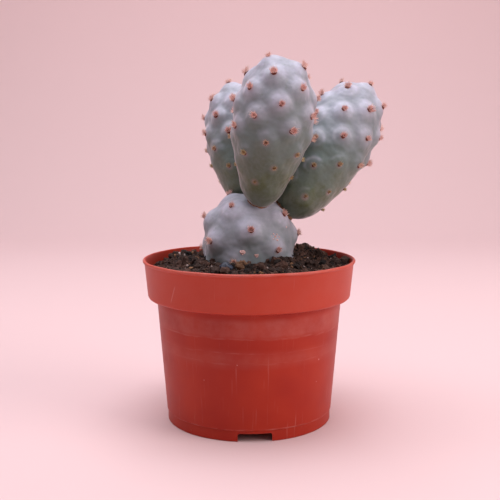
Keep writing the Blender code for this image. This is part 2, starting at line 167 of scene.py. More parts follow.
sweep_line = [(SWEEP_NEAR, 0.0), (SWEEP_BACK, 0.0)]
for i in range(1, 13):
    angle = math.pi / 2 * i / 12
    sweep_line.append((
        SWEEP_BACK + SWEEP_RADIUS * math.sin(angle), SWEEP_RADIUS * (1 - math.cos(angle))))
sweep_line.append((SWEEP_BACK + SWEEP_RADIUS, SWEEP_TOP))
sweep_points = [(side * SWEEP_HALF_WIDTH, y, z) for y, z in sweep_line for side in (-1, 1)]
sweep_faces = [(2 * i, 2 * i + 1, 2 * i + 3, 2 * i + 2) for i in range(len(sweep_line) - 1)]
floor_mesh = bpy.data.meshes.new("floor")
floor_mesh.from_pydata(sweep_points, [], sweep_faces)
floor_mesh.shade_smooth()
floor = bpy.data.objects.new("floor", floor_mesh)
bpy.context.scene.collection.objects.link(floor)

paper = new_material("matt pale paper", Roughness=0.9, Base_Color=srgb("DDBFBF"))[0]
floor_mesh.materials.append(paper)

# %% Lights
def soft_panel(name, place, aim, size, power, colour):
    """A square area light that faces a point."""
    data = bpy.data.lights.new(name, "AREA")
    data.size = size
    data.energy = power
    data.color = srgb(colour)[:3]
    lamp = bpy.data.objects.new(name, data)
    lamp.location = place
    lamp.rotation_euler = (Vector(aim) - Vector(place)).to_track_quat("-Z", "Y").to_euler()
    bpy.context.scene.collection.objects.link(lamp)


PLANT_MIDDLE = (0, 0, 0.08)
soft_panel("overhead panel", (-0.05, 0.05, 0.95), PLANT_MIDDLE, 0.9, 12.0, "F6F7FF")
soft_panel("right panel", (0.85, -0.35, 0.45), PLANT_MIDDLE, 0.6, 5.2, "FFF4F2")
soft_panel("left panel", (-0.9, -0.2, 0.4), PLANT_MIDDLE, 0.6, 0.6, "FFEDEA")

world = bpy.data.worlds.new("room")
world.use_nodes = True
bpy.context.scene.world = world
world.node_tree.nodes["Background"].inputs["Color"].default_value = srgb("F4E6E8")
world.node_tree.nodes["Background"].inputs["Strength"].default_value = 0.28

# %% [markdown]
# ## Plain meshes from Geometry Nodes
#
# A geometry tree is a recipe with named inputs. The helper below follows a recipe
# once and keeps only the plain mesh: it sets the inputs by their identifiers, lets
# the modifier run, copies the result, and throws the modifier away.

# %% Start and end a recipe
def new_recipe(name, **inputs):
    """An empty geometry tree with named inputs, given as (socket type, default)."""
    tree = bpy.data.node_groups.new(name, "GeometryNodeTree")
    for label, (kind, default) in inputs.items():
        socket = tree.interface.new_socket(
            label.replace("_", " "), in_out="INPUT", socket_type=f"NodeSocket{kind}")
        if default is not None:
            socket.default_value = default
    tree.interface.new_socket("Geometry", in_out="OUTPUT", socket_type="NodeSocketGeometry")
    return tree, partial(add_node, tree), tree.nodes.new("NodeGroupInput").outputs


def raised(add, mesh, height):
    """The mesh with each point moved along its own normal."""
    lift = add("VectorMath SCALE", add("InputNormal"), named={"Scale": height})
    return add("SetPosition", mesh, True, None, lift)


def close_recipe(tree, add, mesh, finish):
    """End with plain geometry in its finish, because the export drops instances."""
    mesh = add("RealizeInstances", mesh)
    mesh = add("SetMaterial", mesh, True, finish)
    add("NodeGroupOutput", mesh)
    return tree


# %% Follow a recipe, and hand a piece over
def follow(tree, name, values, start=None):
    """Run a recipe, on a starting mesh if there is one, and keep its plain result."""
    mesh = start or bpy.data.meshes.new(name)
    source = bpy.data.objects.new(name + " source", mesh)
    bpy.context.scene.collection.objects.link(source)
    modifier = source.modifiers.new(tree.name, "NODES")
    modifier.node_group = tree
    for item in tree.interface.items_tree:
        if item.item_type == "SOCKET" and item.in_out == "INPUT" and item.name in values:
            modifier[item.identifier] = values[item.name]
    bpy.context.view_layer.update()
    evaluated = source.evaluated_get(bpy.context.evaluated_depsgraph_get())
    result = bpy.data.meshes.new_from_object(evaluated)
    result.name = name
    source.modifiers.remove(modifier)
    bpy.data.objects.remove(source)
    return place_piece(name, result)


def place_piece(name, mesh):
    piece = bpy.data.objects.new(name, mesh)
    bpy.context.scene.collection.objects.link(piece)
    triangles = sum(len(face.vertices) - 2 for face in mesh.polygons)
    print(f"{name}: {triangles} triangles")
    return piece


def hand_over(piece, slot, *nodes):
    """The piece rides on the part and stands for the CAD nodes named."""
    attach(piece, "root")
    if nodes:
        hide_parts(*nodes)


# %% [markdown]
# ## Terracotta polypropylene
#
# A nursery pot is injection moulded from polypropylene coloured with iron-oxide red.
# The plastic is satin, a little translucent at thin edges, and soft enough to scuff:
# stacked pots rub pale bands round each other just under the collar, potting-bench
# grit draws thin whitish streaks down the wall, and lime leaves pale specks.
# The pattern follows the wall, so it is laid out by distance round the pot and height.

# %% Sizes of the pot, in millimetres from the axis and the table
LIP_BEAD = 0.65
COLLAR_TOP, COLLAR_LOW, COLLAR_BOTTOM = 41.8, 40.6, 49.7
WALL_TOP, WALL_FOOT, FOOT = 37.0, 33.4, 33.0
WALL_BOTTOM = 4.7             # height of the line round the foot, where the wall begins
WALL = 1.0
FLOOR_UNDERSIDE = 3.4
RIM = RIM_HEIGHT / MM

# %% Where a point is on the pot, and the strongest of several marks
def wall_places(add):
    """A point from the pot's axis, its arc round the wall, its height, and it unrolled."""
    local = add("VectorMath SUBTRACT", add("TexCoord").outputs["Object"], tuple(POT_AXIS))
    x, y, height = add("SeparateXYZ", local).outputs
    bearing = add("Math ARCTAN2", x, add("Math MULTIPLY", y, -1.0))
    around = add("Math MULTIPLY", bearing, WALL_TOP * MM)
    return local, around, height, add("CombineXYZ", around, 0.0, height)


def strongest(add, marks):
    return reduce(lambda one, other: add("Math MAXIMUM", one, other), marks)


# %% [markdown]
# Haze is rubbed by stacked pots: a wide belt under the collar, a fainter one lower
# down, and the whole collar a little from handling. The pale belt at the lip is partly
# worn and partly a painted highlight along the lip. The edges of the belts
# and of the step at the foot are scuffed into broken pale lines.

# %% Belts of haze with a painted highlight at the lip, and scuffed lines
BELTS = (                     # lower edge, upper edge, softness and strength
    (40.2, 47.0, 0.9, 0.22), (29.6, 34.4, 1.8, 0.13), (50.2, 64.0, 0.6, 0.06),
    # the lip: partly rubbed pale, partly a painted highlight along it
    (63.9, 66.0, 0.3, 0.34))
SCUFFS = (                    # height, half width and strength
    (39.8, 0.5, 0.3), (34.6, 0.4, 0.22), (30.6, 0.6, 0.16), (4.65, 0.45, 0.6))
STRAIGHT_BELOW = 10           # the moulded step at the foot does not waver


# belts of rubbed haze; the one at the lip is partly a painted highlight
def rubbed_belts_and_lip_highlight(add, wall_spot, level):
    belts = []
    for low, high, softness, weight in BELTS:
        bottom = add("MapRange", level, (low - softness) * MM, (low + softness) * MM)
        top = add("MapRange", level, (high - softness) * MM, (high + softness) * MM, weight, 0.0)
        belts.append(add("Math MULTIPLY", bottom, top))
    patchy = add("TexNoise", wall_spot, per_metre(8 * MM), 5.0, 0.6)
    patchy = add("MapRange", patchy, 0.35, 0.65, 0.3, 1.0)
    return add("Math MULTIPLY", strongest(add, belts), patchy)


def scuffed_lines(add, wall_spot, level, height):
    flat = add("VectorMath MULTIPLY", wall_spot, (0.12, 1.0, 1.0))
    broken = add("TexNoise", flat, per_metre(0.9 * MM), 3.0, 0.6)
    broken = add("MapRange", broken, 0.45, 0.7, 0.0, 1.0)
    lines = []
    for middle, half_width, weight in SCUFFS:
        away = add("Math SUBTRACT", height if middle < STRAIGHT_BELOW else level, middle * MM)
        away = add("Math ABSOLUTE", away)
        lines.append(add("MapRange", away, 0.0, half_width * MM, weight, 0.0))
    return add("Math MULTIPLY", strongest(add, lines), broken)


# %% Streaks, specks and a scratch
SCRATCH_AROUND, SCRATCH_HEIGHT, SCRATCH_LEAN = -27.9, 55.4, 0.42


def lime_streaks(add, wall_spot):
    """Thin streaks down the wall, about 0.3 mm wide and 10 mm long."""
    tall = add("VectorMath MULTIPLY", wall_spot, (1.0, 1.0, 0.05))
    streak = add("TexNoise", tall, per_metre(0.9 * MM), 2.0, 0.5)
    streak = add("MapRange", streak, 0.6, 0.74, 0.0, 0.26)
    somewhere = add("TexNoise", wall_spot, per_metre(12 * MM), 1.0, 0.5)
    somewhere = add("MapRange", somewhere, 0.44, 0.64, 0.0, 1.0)
    return add("Math MULTIPLY", streak, somewhere)


def lime_specks(add, wall_spot):
    """Specks under a millimetre across, on about one cell in four."""
    cell = add("TexVoronoi", wall_spot, per_metre(4.5 * MM))
    size = add("MapRange", add("SeparateColor", cell.outputs["Color"]), 0.72, 1.0, 0.0, 0.085)
    return add("Math MULTIPLY", add("Math LESS_THAN", cell, size), 0.6)


def collar_scratch(add, around, height):
    """One scratch: a thin leaning line that fades at its ends."""
    across = add("Math SUBTRACT", around, SCRATCH_AROUND * MM)
    up = add("Math SUBTRACT", height, SCRATCH_HEIGHT * MM)
    off_line = add("Math ABSOLUTE", add("Math MULTIPLY_ADD", up, -SCRATCH_LEAN, across))
    line = add("MapRange", off_line, 0.06 * MM, 0.3 * MM, 0.5, 0.0)
    ends = add("MapRange", add("Math ABSOLUTE", up), 2.4 * MM, 3.6 * MM, 1.0, 0.0)
    return add("Math MULTIPLY", line, ends)


# %% Terracotta polypropylene
def make_polypropylene():
    material, add, shader = new_material(
        "moulded terracotta polypropylene", IOR=1.49, Specular_IOR_Level=0.32,
        Subsurface_Weight=0.04, Subsurface_Scale=0.002)
    local, around, height, wall_spot = wall_places(add)

    # broad, soft unevenness of the pigment, 15 mm across
    cloud = add("TexNoise", local, per_metre(15 * MM), 2.0, 0.5)
    shade = add("MapRange", cloud, 0.3, 0.7, 0.0, 1.0)
    colour = add("Mix RGBA", shade, srgb("A01E05"), srgb("AC2A0D"))

    # the collar's tone, the wear and the painted lip highlight are only on faces that look away
    # from the axis
    level_spot = add("VectorMath MULTIPLY", local, (1.0, 1.0, 0.0))
    normal = add("NewGeometry").outputs["Normal"]
    outside = add("VectorMath DOT_PRODUCT", level_spot, normal).outputs["Value"]
    outside = add("MapRange", outside, -8 * MM, 0.0, 0.0, 1.0)

    # the collar is a lighter, more orange red than the wall under it
    collar_from, collar_to = (COLLAR_BOTTOM - 0.3) * MM, (COLLAR_BOTTOM + 0.5) * MM
    collar_tone = add("MapRange", height, collar_from, collar_to, 0.0, 1.0)
    collar_tone = add("Math MULTIPLY", collar_tone, outside)
    colour = add("Mix RGBA", collar_tone, colour, srgb("BA3A22"))

    # the belts waver up and down by up to a millimetre
    waver = add("TexNoise", wall_spot, per_metre(14 * MM), 2.0, 0.5)
    waver = add("Math MULTIPLY_ADD", waver, 2.0 * MM, -1.0 * MM)
    level = add("Math ADD", height, waver)
    belts = rubbed_belts_and_lip_highlight(add, wall_spot, level)
    rubbed_and_lip_highlight = add("Math ADD", belts, scuffed_lines(add, wall_spot, level, height))
    # wear, and the painted highlight at the lip
    wear_and_lip_highlight = strongest(add, [
        rubbed_and_lip_highlight, lime_streaks(add, wall_spot), lime_specks(add, wall_spot),
        collar_scratch(add, around, height)])
    wear_and_lip_highlight = add("Math MULTIPLY", wear_and_lip_highlight, outside)
    colour = add("Mix RGBA", wear_and_lip_highlight, colour, srgb("CF8F86"))
    wire(shader, Base_Color=colour, Roughness=add("MapRange", wear_and_lip_highlight, 0.0, 1.0, 0.44, 0.62))

    # the mould's fine texture, with the wear and the lip highlight cut into it
    grain = add("TexNoise", local, per_metre(0.35 * MM), 2.0, 0.5)
    relief = add("Math MULTIPLY_ADD", wear_and_lip_highlight, -0.6, grain)
    wire(shader, Normal=add("Bump", 0.25, 0.05 * MM, named={"Height": relief}))
    return material


polypropylene = make_polypropylene()

# %% [markdown]
# ## The pot
#
# The pot is a body of revolution: one outline, turned. The outline has what the
# mould gives the real one, such as the rolled lip, the slightly conical collar, the
# stacking step and the line round the foot. Cutters then take out the three
# notches and drain holes at the foot. A spin with 192 steps is smooth at the lip.

# %% Outline of the wall
CORNER = 1.2                  # inner radius of the moulded corners
WALL_STEPS = 12


def arc(middle, radius, start, end, steps=8):
    """Points (radius, height) on an arc, angles in degrees from outwards to up."""
    angles = [math.radians(start + (end - start) * i / steps) for i in range(steps + 1)]
    return [(middle[0] + radius * math.cos(a), middle[1] + radius * math.sin(a)) for a in angles]


def pot_outline():
    shelf = COLLAR_BOTTOM + WALL
    floor_top = FLOOR_UNDERSIDE + WALL
    inside = [(0, floor_top), (8, floor_top), (30, floor_top)]
    inside += arc((WALL_FOOT - WALL - CORNER, floor_top + CORNER), CORNER, -90, 0, 5)
    inside += [(WALL_TOP - WALL, shelf - 0.3), (WALL_TOP - WALL + 0.3, shelf)]
    inside += arc((COLLAR_LOW - WALL - CORNER, shelf + CORNER), CORNER, -90, 0, 5)
    inside += [(COLLAR_TOP - WALL, RIM - 2 * LIP_BEAD)]
    lip = arc((RIM_RADIUS / MM - LIP_BEAD, RIM - LIP_BEAD), LIP_BEAD, 170, -80, 16)
    collar = [(COLLAR_TOP, RIM - 2 * LIP_BEAD - 0.2)]
    collar += arc((COLLAR_LOW - CORNER, COLLAR_BOTTOM + CORNER), CORNER, 0, -90)
    wall = [(WALL_TOP + 0.5, COLLAR_BOTTOM)]
    wall += arc((WALL_TOP + 0.5, COLLAR_BOTTOM - 0.5), 0.5, 90, 180, 4)
    for i in range(1, WALL_STEPS):
        share = i / WALL_STEPS
        wall.append((WALL_TOP + (WALL_FOOT - WALL_TOP) * share,
                     COLLAR_BOTTOM - (COLLAR_BOTTOM - WALL_BOTTOM) * share))
    foot = [
        (WALL_FOOT, 4.75), (WALL_FOOT, 4.55), (FOOT + 0.1, 4.3), (FOOT, 4.2), (FOOT, 0.25),
        (FOOT - 0.25, 0), (FOOT - WALL + 0.2, 0), (FOOT - WALL, 0.2),
        (FOOT - WALL, FLOOR_UNDERSIDE), (9.0, FLOOR_UNDERSIDE), (8.6, FLOOR_UNDERSIDE - 0.3),
        (2.0, FLOOR_UNDERSIDE - 0.3), (1.8, FLOOR_UNDERSIDE - 0.9), (0, FLOOR_UNDERSIDE - 0.9)]
    return inside + lip + collar + wall + foot


# %% Turn it, then cut the notches and drain holes
POT_STEPS = 192
NOTCH_WIDTH, NOTCH_HEIGHT, FIRST_NOTCH = 13.0, 3.2, math.radians(4)
HOLE_RADIUS, HOLE_INSET = 3.5, 7.0
LIP_WAVE, LIP_RISE = 0.22, 0.16
SHARP_EDGE = math.radians(40)


def turned(outline, steps):
    """A closed skin from an outline (radius, height) whose ends are on the axis."""
    skin = bmesh.new()
    rings = []
    for radius, height in outline:
        if radius == 0:
            rings.append([skin.verts.new((0, 0, height * MM))])
            continue
        angles = [math.tau * i / steps for i in range(steps)]
        rings.append([
            skin.verts.new((radius * MM * math.cos(a), radius * MM * math.sin(a), height * MM))
            for a in angles])
    for low, high in zip(rings, rings[1:]):
        for i in range(steps):
            j = (i + 1) % steps
            corners = [low[i % len(low)], low[j % len(low)]]
            corners += [high[j % len(high)], high[i % len(high)]]
            skin.faces.new(list(dict.fromkeys(corners)))
    bmesh.ops.recalc_face_normals(skin, faces=skin.faces)
    return skin


def mesh_of(name, skin):
    mesh = bpy.data.meshes.new(name)
    skin.to_mesh(mesh)
    skin.free()
    return mesh


def at_bearing(bearing, distance, height=0.0):
    """A place by direction from the front towards the right, in millimetres."""
    return Vector((distance * math.sin(bearing), -distance * math.cos(bearing), height)) * MM


def make_pot():
    pot = bpy.data.objects.new("pot_shell", mesh_of("pot_shell", turned(pot_outline(), POT_STEPS)))
    bpy.context.scene.collection.objects.link(pot)
    cutters = []
    for i in range(3):
        bearing = FIRST_NOTCH + math.tau * i / 3
        notch = bmesh.new()
        bmesh.ops.create_cube(notch, size=MM)
        bmesh.ops.scale(notch, vec=(NOTCH_WIDTH, 8, 2 * NOTCH_HEIGHT), verts=notch.verts)
        upright = [
            edge for edge in notch.edges
            if abs(edge.verts[0].co.z + edge.verts[1].co.z) > NOTCH_HEIGHT * MM
            or abs(edge.verts[0].co.z - edge.verts[1].co.z) < MM]
        bmesh.ops.bevel(notch, geom=upright, offset=0.4 * MM, segments=3, affect="EDGES")
        hole = bmesh.new()
        bmesh.ops.create_cone(
            hole, cap_ends=True, segments=48, radius1=HOLE_RADIUS * MM,
            radius2=HOLE_RADIUS * MM, depth=6 * MM)
        for kind, skin, place in (
                ("notch", notch, at_bearing(bearing, FOOT)),
                ("hole", hole, at_bearing(bearing, FOOT - HOLE_INSET, FLOOR_UNDERSIDE))):
            cutter = bpy.data.objects.new(f"{kind}_{i}", mesh_of(f"{kind}_{i}", skin))
            cutter.location = place
            cutter.rotation_euler.z = bearing
            bpy.context.scene.collection.objects.link(cutter)
            cutters.append(cutter)
            cut = pot.modifiers.new(cutter.name, "BOOLEAN")
            cut.object = cutter
            cut.operation = "DIFFERENCE"
            cut.solver = "EXACT"
    bpy.context.view_layer.update()
    evaluated = pot.evaluated_get(bpy.context.evaluated_depsgraph_get())
    mesh = bpy.data.meshes.new_from_object(evaluated)
    for helper in cutters + [pot]:
        bpy.data.objects.remove(helper)
    for vertex in mesh.vertices:
        # thin plastic is never quite round: the lip waves by up to LIP_WAVE and LIP_RISE
        share = max(0.0, vertex.co.z / RIM_HEIGHT - 0.5) * 2
        out = Vector((vertex.co.x, vertex.co.y, 0)).normalized()
        wave = noise.noise(Vector((out.x, out.y, 0)) * 2.2)
        vertex.co += out * LIP_WAVE * MM * wave * share
        vertex.co.z += LIP_RISE * MM * share * noise.noise(out * 3.1 + Vector((7, 0, 0)))
    mesh.transform(TO_FRAME)
    mesh.shade_smooth()
    mesh.set_sharp_from_angle(angle=SHARP_EDGE)
    return place_piece("pot_shell", mesh)


pot_shell = make_pot()
pot_shell.data.materials.append(polypropylene)
hand_over(pot_shell, "pot_plastic", "pot")

# %% [markdown]
# ## Waxy skin
#
# The skin of the joints is green leaf-like tissue under a pale blue-grey wax, the
# bloom. The bloom is thickest on the upper half of a joint and on the tops of its
# warts, and thin near the foot, where the green shows through and looks olive. The
# colour also holds painted light and shade from above: skin that faces up is painted
# paler and skin that faces down darker, the dark foot and pale upper joint are partly
# painted shade and light, the hollows between warts are painted darker as shade, and a
# pale arc above each bristle pad is a painted highlight. The wax makes the surface dull,
# with a faint sheen at grazing angles. Each joint carries two numbers on its skin: how
# far along the joint a point is, and how high it stands on a wart, and the finish is
# painted from those two, from the distance to the nearest pad and from which way the
# skin faces.

# %% The depth of the wax with painted light, and the marks on it
# the pale arc of the painted highlight round each pad, and its half width
ARC_RADIUS, ARC_HALF_WIDTH = 3.3, 1.0      # millimetres from the middle of the pad


def wax_and_painted_light(add, spot, along, rise, up, bare_below, waxy_above):
    """How thick the wax is, from 0 to 1, with painted light and shade from above added in."""
    cloud = add("TexNoise", spot, per_metre(9 * MM), 3.0, 0.55)
    # thinner wax towards the foot; the darker foot and paler upper joint are partly painted shade
    # and painted light from above
    age = add(
        "MapRange", along, bare_below, waxy_above, 0.0, 0.66, interpolation_type="SMOOTHSTEP")
    # painted light and shade: skin facing up is painted paler, skin facing down darker
    painted_light_from_above = add("MapRange", up, -0.6, 1.0, -0.2, 0.42)
    wax_and_light = add("Math MULTIPLY_ADD", rise, 0.16, add("Math ADD", age, painted_light_from_above))
    uneven = add("MapRange", cloud, 0.3, 0.7, -0.1, 0.1)
    return add("Math ADD", wax_and_light, uneven, use_clamp=True)


def skin_marks(add, spot, fine, rise, near, up):
    """What else colours the skin, a painted highlight and painted shade among it: how strong each
    mark is, and its colour.
    """
    # a painted highlight: a pale arc round the bristle pad on the upward-facing side of a wart,
    # where light from above falls
    from_arc = add("Math ABSOLUTE", add("Math SUBTRACT", near, ARC_RADIUS))
    lit_arc_share = add("MapRange", from_arc, 0.2, ARC_HALF_WIDTH, 0.42, 0.0)
    facing_up_share = add("MapRange", up, 0.05, 0.5, 0.0, 1.0)
    # wax rubbed off in small patches, 3 mm apart and under 1 mm wide
    rub = add("TexNoise", spot, per_metre(2.6 * MM), 2.0, 0.7)
    return (
        (add("Math MULTIPLY", lit_arc_share, facing_up_share), "C3C4D3"),
        (add("MapRange", fine, 0.3, 0.7, 0.0, 0.28), "788784"),     # fine mottling
        # painted shade: darker, greener hollows between the warts
        (add("MapRange", rise, 0.0, 0.4, 0.22, 0.0), "627072"),     # greener hollows
        (add("MapRange", rub, 0.66, 0.76, 0.0, 0.3), "6B7565"),
        (add("MapRange", near, 0.7, 1.8, 0.4, 0.0), "B08D8C"))      # a blush at the pad


# %% Waxy skin, young and old
def make_epidermis(name, bare_below, waxy_above):
    """Green tissue under wax that is thin below one share of the length, full above, with painted
    light and shade from above.
    """
    material, add, shader = new_material(
        name, IOR=1.45, Subsurface_Weight=0.12, Subsurface_Scale=0.0015,
        Subsurface_Radius=(0.8, 1.0, 0.45), Sheen_Weight=0.6, Sheen_Roughness=0.4,
        Sheen_Tint=srgb("F3E3EC"))
    spot = add("TexCoord").outputs["Object"]
    along, rise, near = [
        add("Attribute", attribute_name=name).outputs["Fac"] for name in ("along", "rise", "near")]
    up = add("SeparateXYZ", add("NewGeometry").outputs["Normal"]).outputs[2]
    wax_and_light = wax_and_painted_light(add, spot, along, rise, up, bare_below, waxy_above)
    # the colour follows the wax, with its painted light and shade
    low = add("Mix RGBA", add("MapRange", wax_and_light, 0.0, 0.5), srgb("505C36"), srgb("667775"))
    colour = add("Mix RGBA", add("MapRange", wax_and_light, 0.45, 1.0), low, srgb("B4B3C3"))
    fine = add("TexNoise", spot, per_metre(1.4 * MM), 4.0, 0.6)
    for strength, code in skin_marks(add, spot, fine, rise, near, up):
        colour = add("Mix RGBA", strength, colour, srgb(code))
    wire(shader, Base_Color=colour, Roughness=add("MapRange", wax_and_light, 0.0, 1.0, 0.42, 0.62))

    # pores, 0.3 mm apart, under the finest wrinkles
    pores = add("TexVoronoi", spot, per_metre(0.32 * MM))
    relief = add("Math MULTIPLY_ADD", pores, 0.35, fine)
    wire(shader, Normal=add("Bump", 0.3, 0.08 * MM, named={"Height": relief}))
    return material


young_epidermis = make_epidermis("young waxy epidermis", 0.02, 0.8)
old_epidermis = make_epidermis("old waxy epidermis", -0.3, 0.65)

# %% [markdown]
# ## The rule of a joint
#
# A cactus makes its warts one after another at the growing tip, each turned by the
# golden angle from the last, so every wart gets an equal share of the skin. That
# is a rule, so Geometry Nodes grow the joints. The first recipe is the outline, a
# line of points from foot to tip: a narrow neck that swells to the fullest ring and
# then closes in a blunt dome. Each point also stores how much skin lies below it.

# %% The sizes of a joint
JOINT_INPUTS = dict(
    Length=("Float", 50 * MM), Radius=("Float", 14 * MM), Widest_At=("Float", 30 * MM),
    Neck_Radius=("Float", 7 * MM), Foot_Rounding=("Float", 7 * MM), Swell=("Float", 1.0),
    Skin_Shares=("Float", 40.0), Bare_Shares=("Float", 4.0), Spiral_Start=("Float", 0.0),
    Turn=("Float", 1.0), Wart_Height=("Float", 1.9 * MM), Wart_Radius=("Float", 5.9 * MM),
    Foot=("Vector", (0, 0, 0)), Lean=("Rotation", (0, 0, 0)))
SIZE_NAMES = [label.replace("_", " ") for label in JOINT_INPUTS]
DOME_POWER = 2.2
OUTLINE_POINTS = 2000
LOW_WART_SHARE = 0.25         # old warts near the foot have stretched almost flat
FADE_FROM, FADE_TO = 0.2, 0.7     # where along the joint they grow to their full height


def from_recipe(add, recipe, sizes):
    """The result of another recipe, made with the same sizes."""
    passed = {name: sizes[name] for name in SIZE_NAMES}
    return add("GeometryNodeGroup", node_tree=recipe, named=passed)


def wart_growth(add, along):
    """The share of its full height that a wart has at a place along the joint."""
    return add(
        "MapRange", along, FADE_FROM, FADE_TO, LOW_WART_SHARE, 1.0,
        interpolation_type="SMOOTHSTEP")


# %% The recipe for the outline
def make_outline_recipe():
    tree, add, sizes = new_recipe("joint outline", **JOINT_INPUTS)
    line = add("MeshLine", OUTLINE_POINTS)
    index = add("InputIndex")

    # heights crowd together at both ends, where the outline bends most
    turn = add("Math MULTIPLY", index, math.pi / (OUTLINE_POINTS - 1))
    turn = add("Math COSINE", turn)
    share = add("Math MULTIPLY_ADD", turn, -0.5, 0.5)
    height = add("Math MULTIPLY", share, sizes["Length"])

    # below the fullest ring: neck + (radius - neck) * sin(quarter turn) ** swell
    part = add("Math DIVIDE", height, sizes["Widest At"], use_clamp=True)
    part = add("Math MULTIPLY", part, math.pi / 2)
    part = add("Math SINE", part)
    part = add("Math POWER", part, sizes["Swell"])
    gain = add("Math SUBTRACT", sizes["Radius"], sizes["Neck Radius"])
    low = add("Math MULTIPLY_ADD", gain, part, sizes["Neck Radius"])
    foot = add("Math DIVIDE", height, sizes["Foot Rounding"], use_clamp=True)
    foot = add("Math SUBTRACT", 1.0, foot)
    foot = add("Math MULTIPLY", foot, foot)
    foot = add("Math SUBTRACT", 1.0, foot)
    foot = add("Math SQRT", foot)
    low = add("Math MULTIPLY", low, foot)

    # above it: radius * sqrt(1 - up ** power)
    over = add("Math SUBTRACT", height, sizes["Widest At"])
    dome = add("Math SUBTRACT", sizes["Length"], sizes["Widest At"])
    up = add("Math DIVIDE", over, dome, use_clamp=True)
    up = add("Math POWER", up, DOME_POWER)
    up = add("Math SUBTRACT", 1.0, up)
    up = add("Math SQRT", up)
    high = add("Math MULTIPLY", sizes["Radius"], up)
    above = add("Math GREATER_THAN", over, 0.0)
    radius = add("Mix FLOAT", above, low, high)
    place = add("CombineXYZ", radius, 0.0, height)
    line = add("SetPosition", line, True, place)

    # skin swept by each step: its length times its mean radius
    here = add("InputPosition")
    before = add("Math SUBTRACT", index, 1.0)
    last = add("FieldAtIndex FLOAT_VECTOR", here, before)
    step = add("VectorMath DISTANCE", here, last)
    both = add("VectorMath ADD", here, last)
    mean = add("SeparateXYZ", both)
    swept = add("Math MULTIPLY", step.outputs["Value"], mean)
    not_first = add("Math GREATER_THAN", index, 0.5)
    swept = add("Math MULTIPLY", swept, not_first)
    total = add("AccumulateField FLOAT", swept)
    below = add("Math DIVIDE", total.outputs["Leading"], total.outputs["Total"])
    line = add("StoreNamedAttribute FLOAT", line, True, "skin_below", below)
    add("NodeGroupOutput", line)
    return tree


outline_recipe = make_outline_recipe()

# %% [markdown]
# The second recipe sets out the warts. Each one looks up the place on the outline
# below which its share of the skin lies, turns by the golden angle, and remembers
# which way is out. To look up by share, the outline is copied and laid out along a
# ruler by share, where the nearest point is the one wanted.

# %% The recipe for the wart spiral
def make_spiral_recipe():
    tree, add, sizes = new_recipe("wart spiral", **JOINT_INPUTS)
    outline = from_recipe(add, outline_recipe, sizes)
    below = add("InputNamedAttribute FLOAT", "skin_below")
    ruler = add("SetPosition", outline, True, add("CombineXYZ", below))

    warts = add("Math SUBTRACT", sizes["Skin Shares"], sizes["Bare Shares"])
    warts = add("Math FLOOR", warts)
    points = add("Points", warts)
    index = add("InputIndex")
    share = add("Math ADD", index, sizes["Bare Shares"])
    share = add("Math DIVIDE", share, sizes["Skin Shares"])
    wanted = add("CombineXYZ", share)
    found = add("SampleNearest", ruler, wanted)
    here = add("InputPosition")
    level = add("SampleIndex FLOAT_VECTOR", outline, here, found)
    after = add("Math ADD", found, 2.0)
    ahead = add("SampleIndex FLOAT_VECTOR", outline, here, after)
    slope = add("VectorMath SUBTRACT", ahead, level)
    slope = add("VectorMath NORMALIZE", slope)
    slope = add("SeparateXYZ", slope)
    inward = add("Math MULTIPLY", slope.outputs[0], -1.0)
    outward = add("CombineXYZ", slope.outputs[2], 0.0, inward)

    angle = add("Math MULTIPLY", index, GOLDEN_ANGLE)
    angle = add("Math MULTIPLY_ADD", angle, sizes["Turn"], sizes["Spiral Start"])
    turned_place, turned_out = [add(
        "VectorRotate", vector, (0, 0, 0), (0, 0, 1), angle,
        rotation_type="AXIS_ANGLE") for vector in (level, outward)]
    points = add("StoreNamedAttribute FLOAT_VECTOR", points, True, "outward", turned_out)
    points = add("StoreNamedAttribute FLOAT", points, True, "share", share)
    points = add("SetPosition", points, True, turned_place)
    add("NodeGroupOutput", points)
    return tree


spiral_recipe = make_spiral_recipe()

# %% [markdown]
# The third recipe is the skin. A grid is wrapped round the outline and its seam and
# poles are merged. A repeat zone then visits every wart and adds a smooth dome to
# the skin within reach of it. The domes melt into each other, as the real ones do,
# because they are added up before the skin is moved. Slow noise keeps the flanks
# from looking turned on a lathe.

# %% Wrap a grid round the outline
SKIN_COLUMNS, SKIN_ROWS = 240, 200
SEAM = 0.002 * MM             # how near the points of a seam or a pole are merged


def wrapped_skin(add, outline, here):
    """Across the grid is the angle, up it is the share of the outline."""
    curve = add("MeshToCurve", outline)
    grid = add("MeshGrid", 1.0, 1.0, SKIN_COLUMNS + 1, SKIN_ROWS + 1)
    across = add("SeparateXYZ", here)
    angle = add("Math MULTIPLY", across.outputs[0], math.tau)
    share = add("Math ADD", across.outputs[1], 0.5)
    level = add("SampleCurve", curve, None, share, mode="FACTOR").outputs["Position"]
    place = add("VectorRotate", level, (0, 0, 0), (0, 0, 1), angle, rotation_type="AXIS_ANGLE")
    return add("MergeByDistance", add("SetPosition", grid, True, place), True, SEAM)


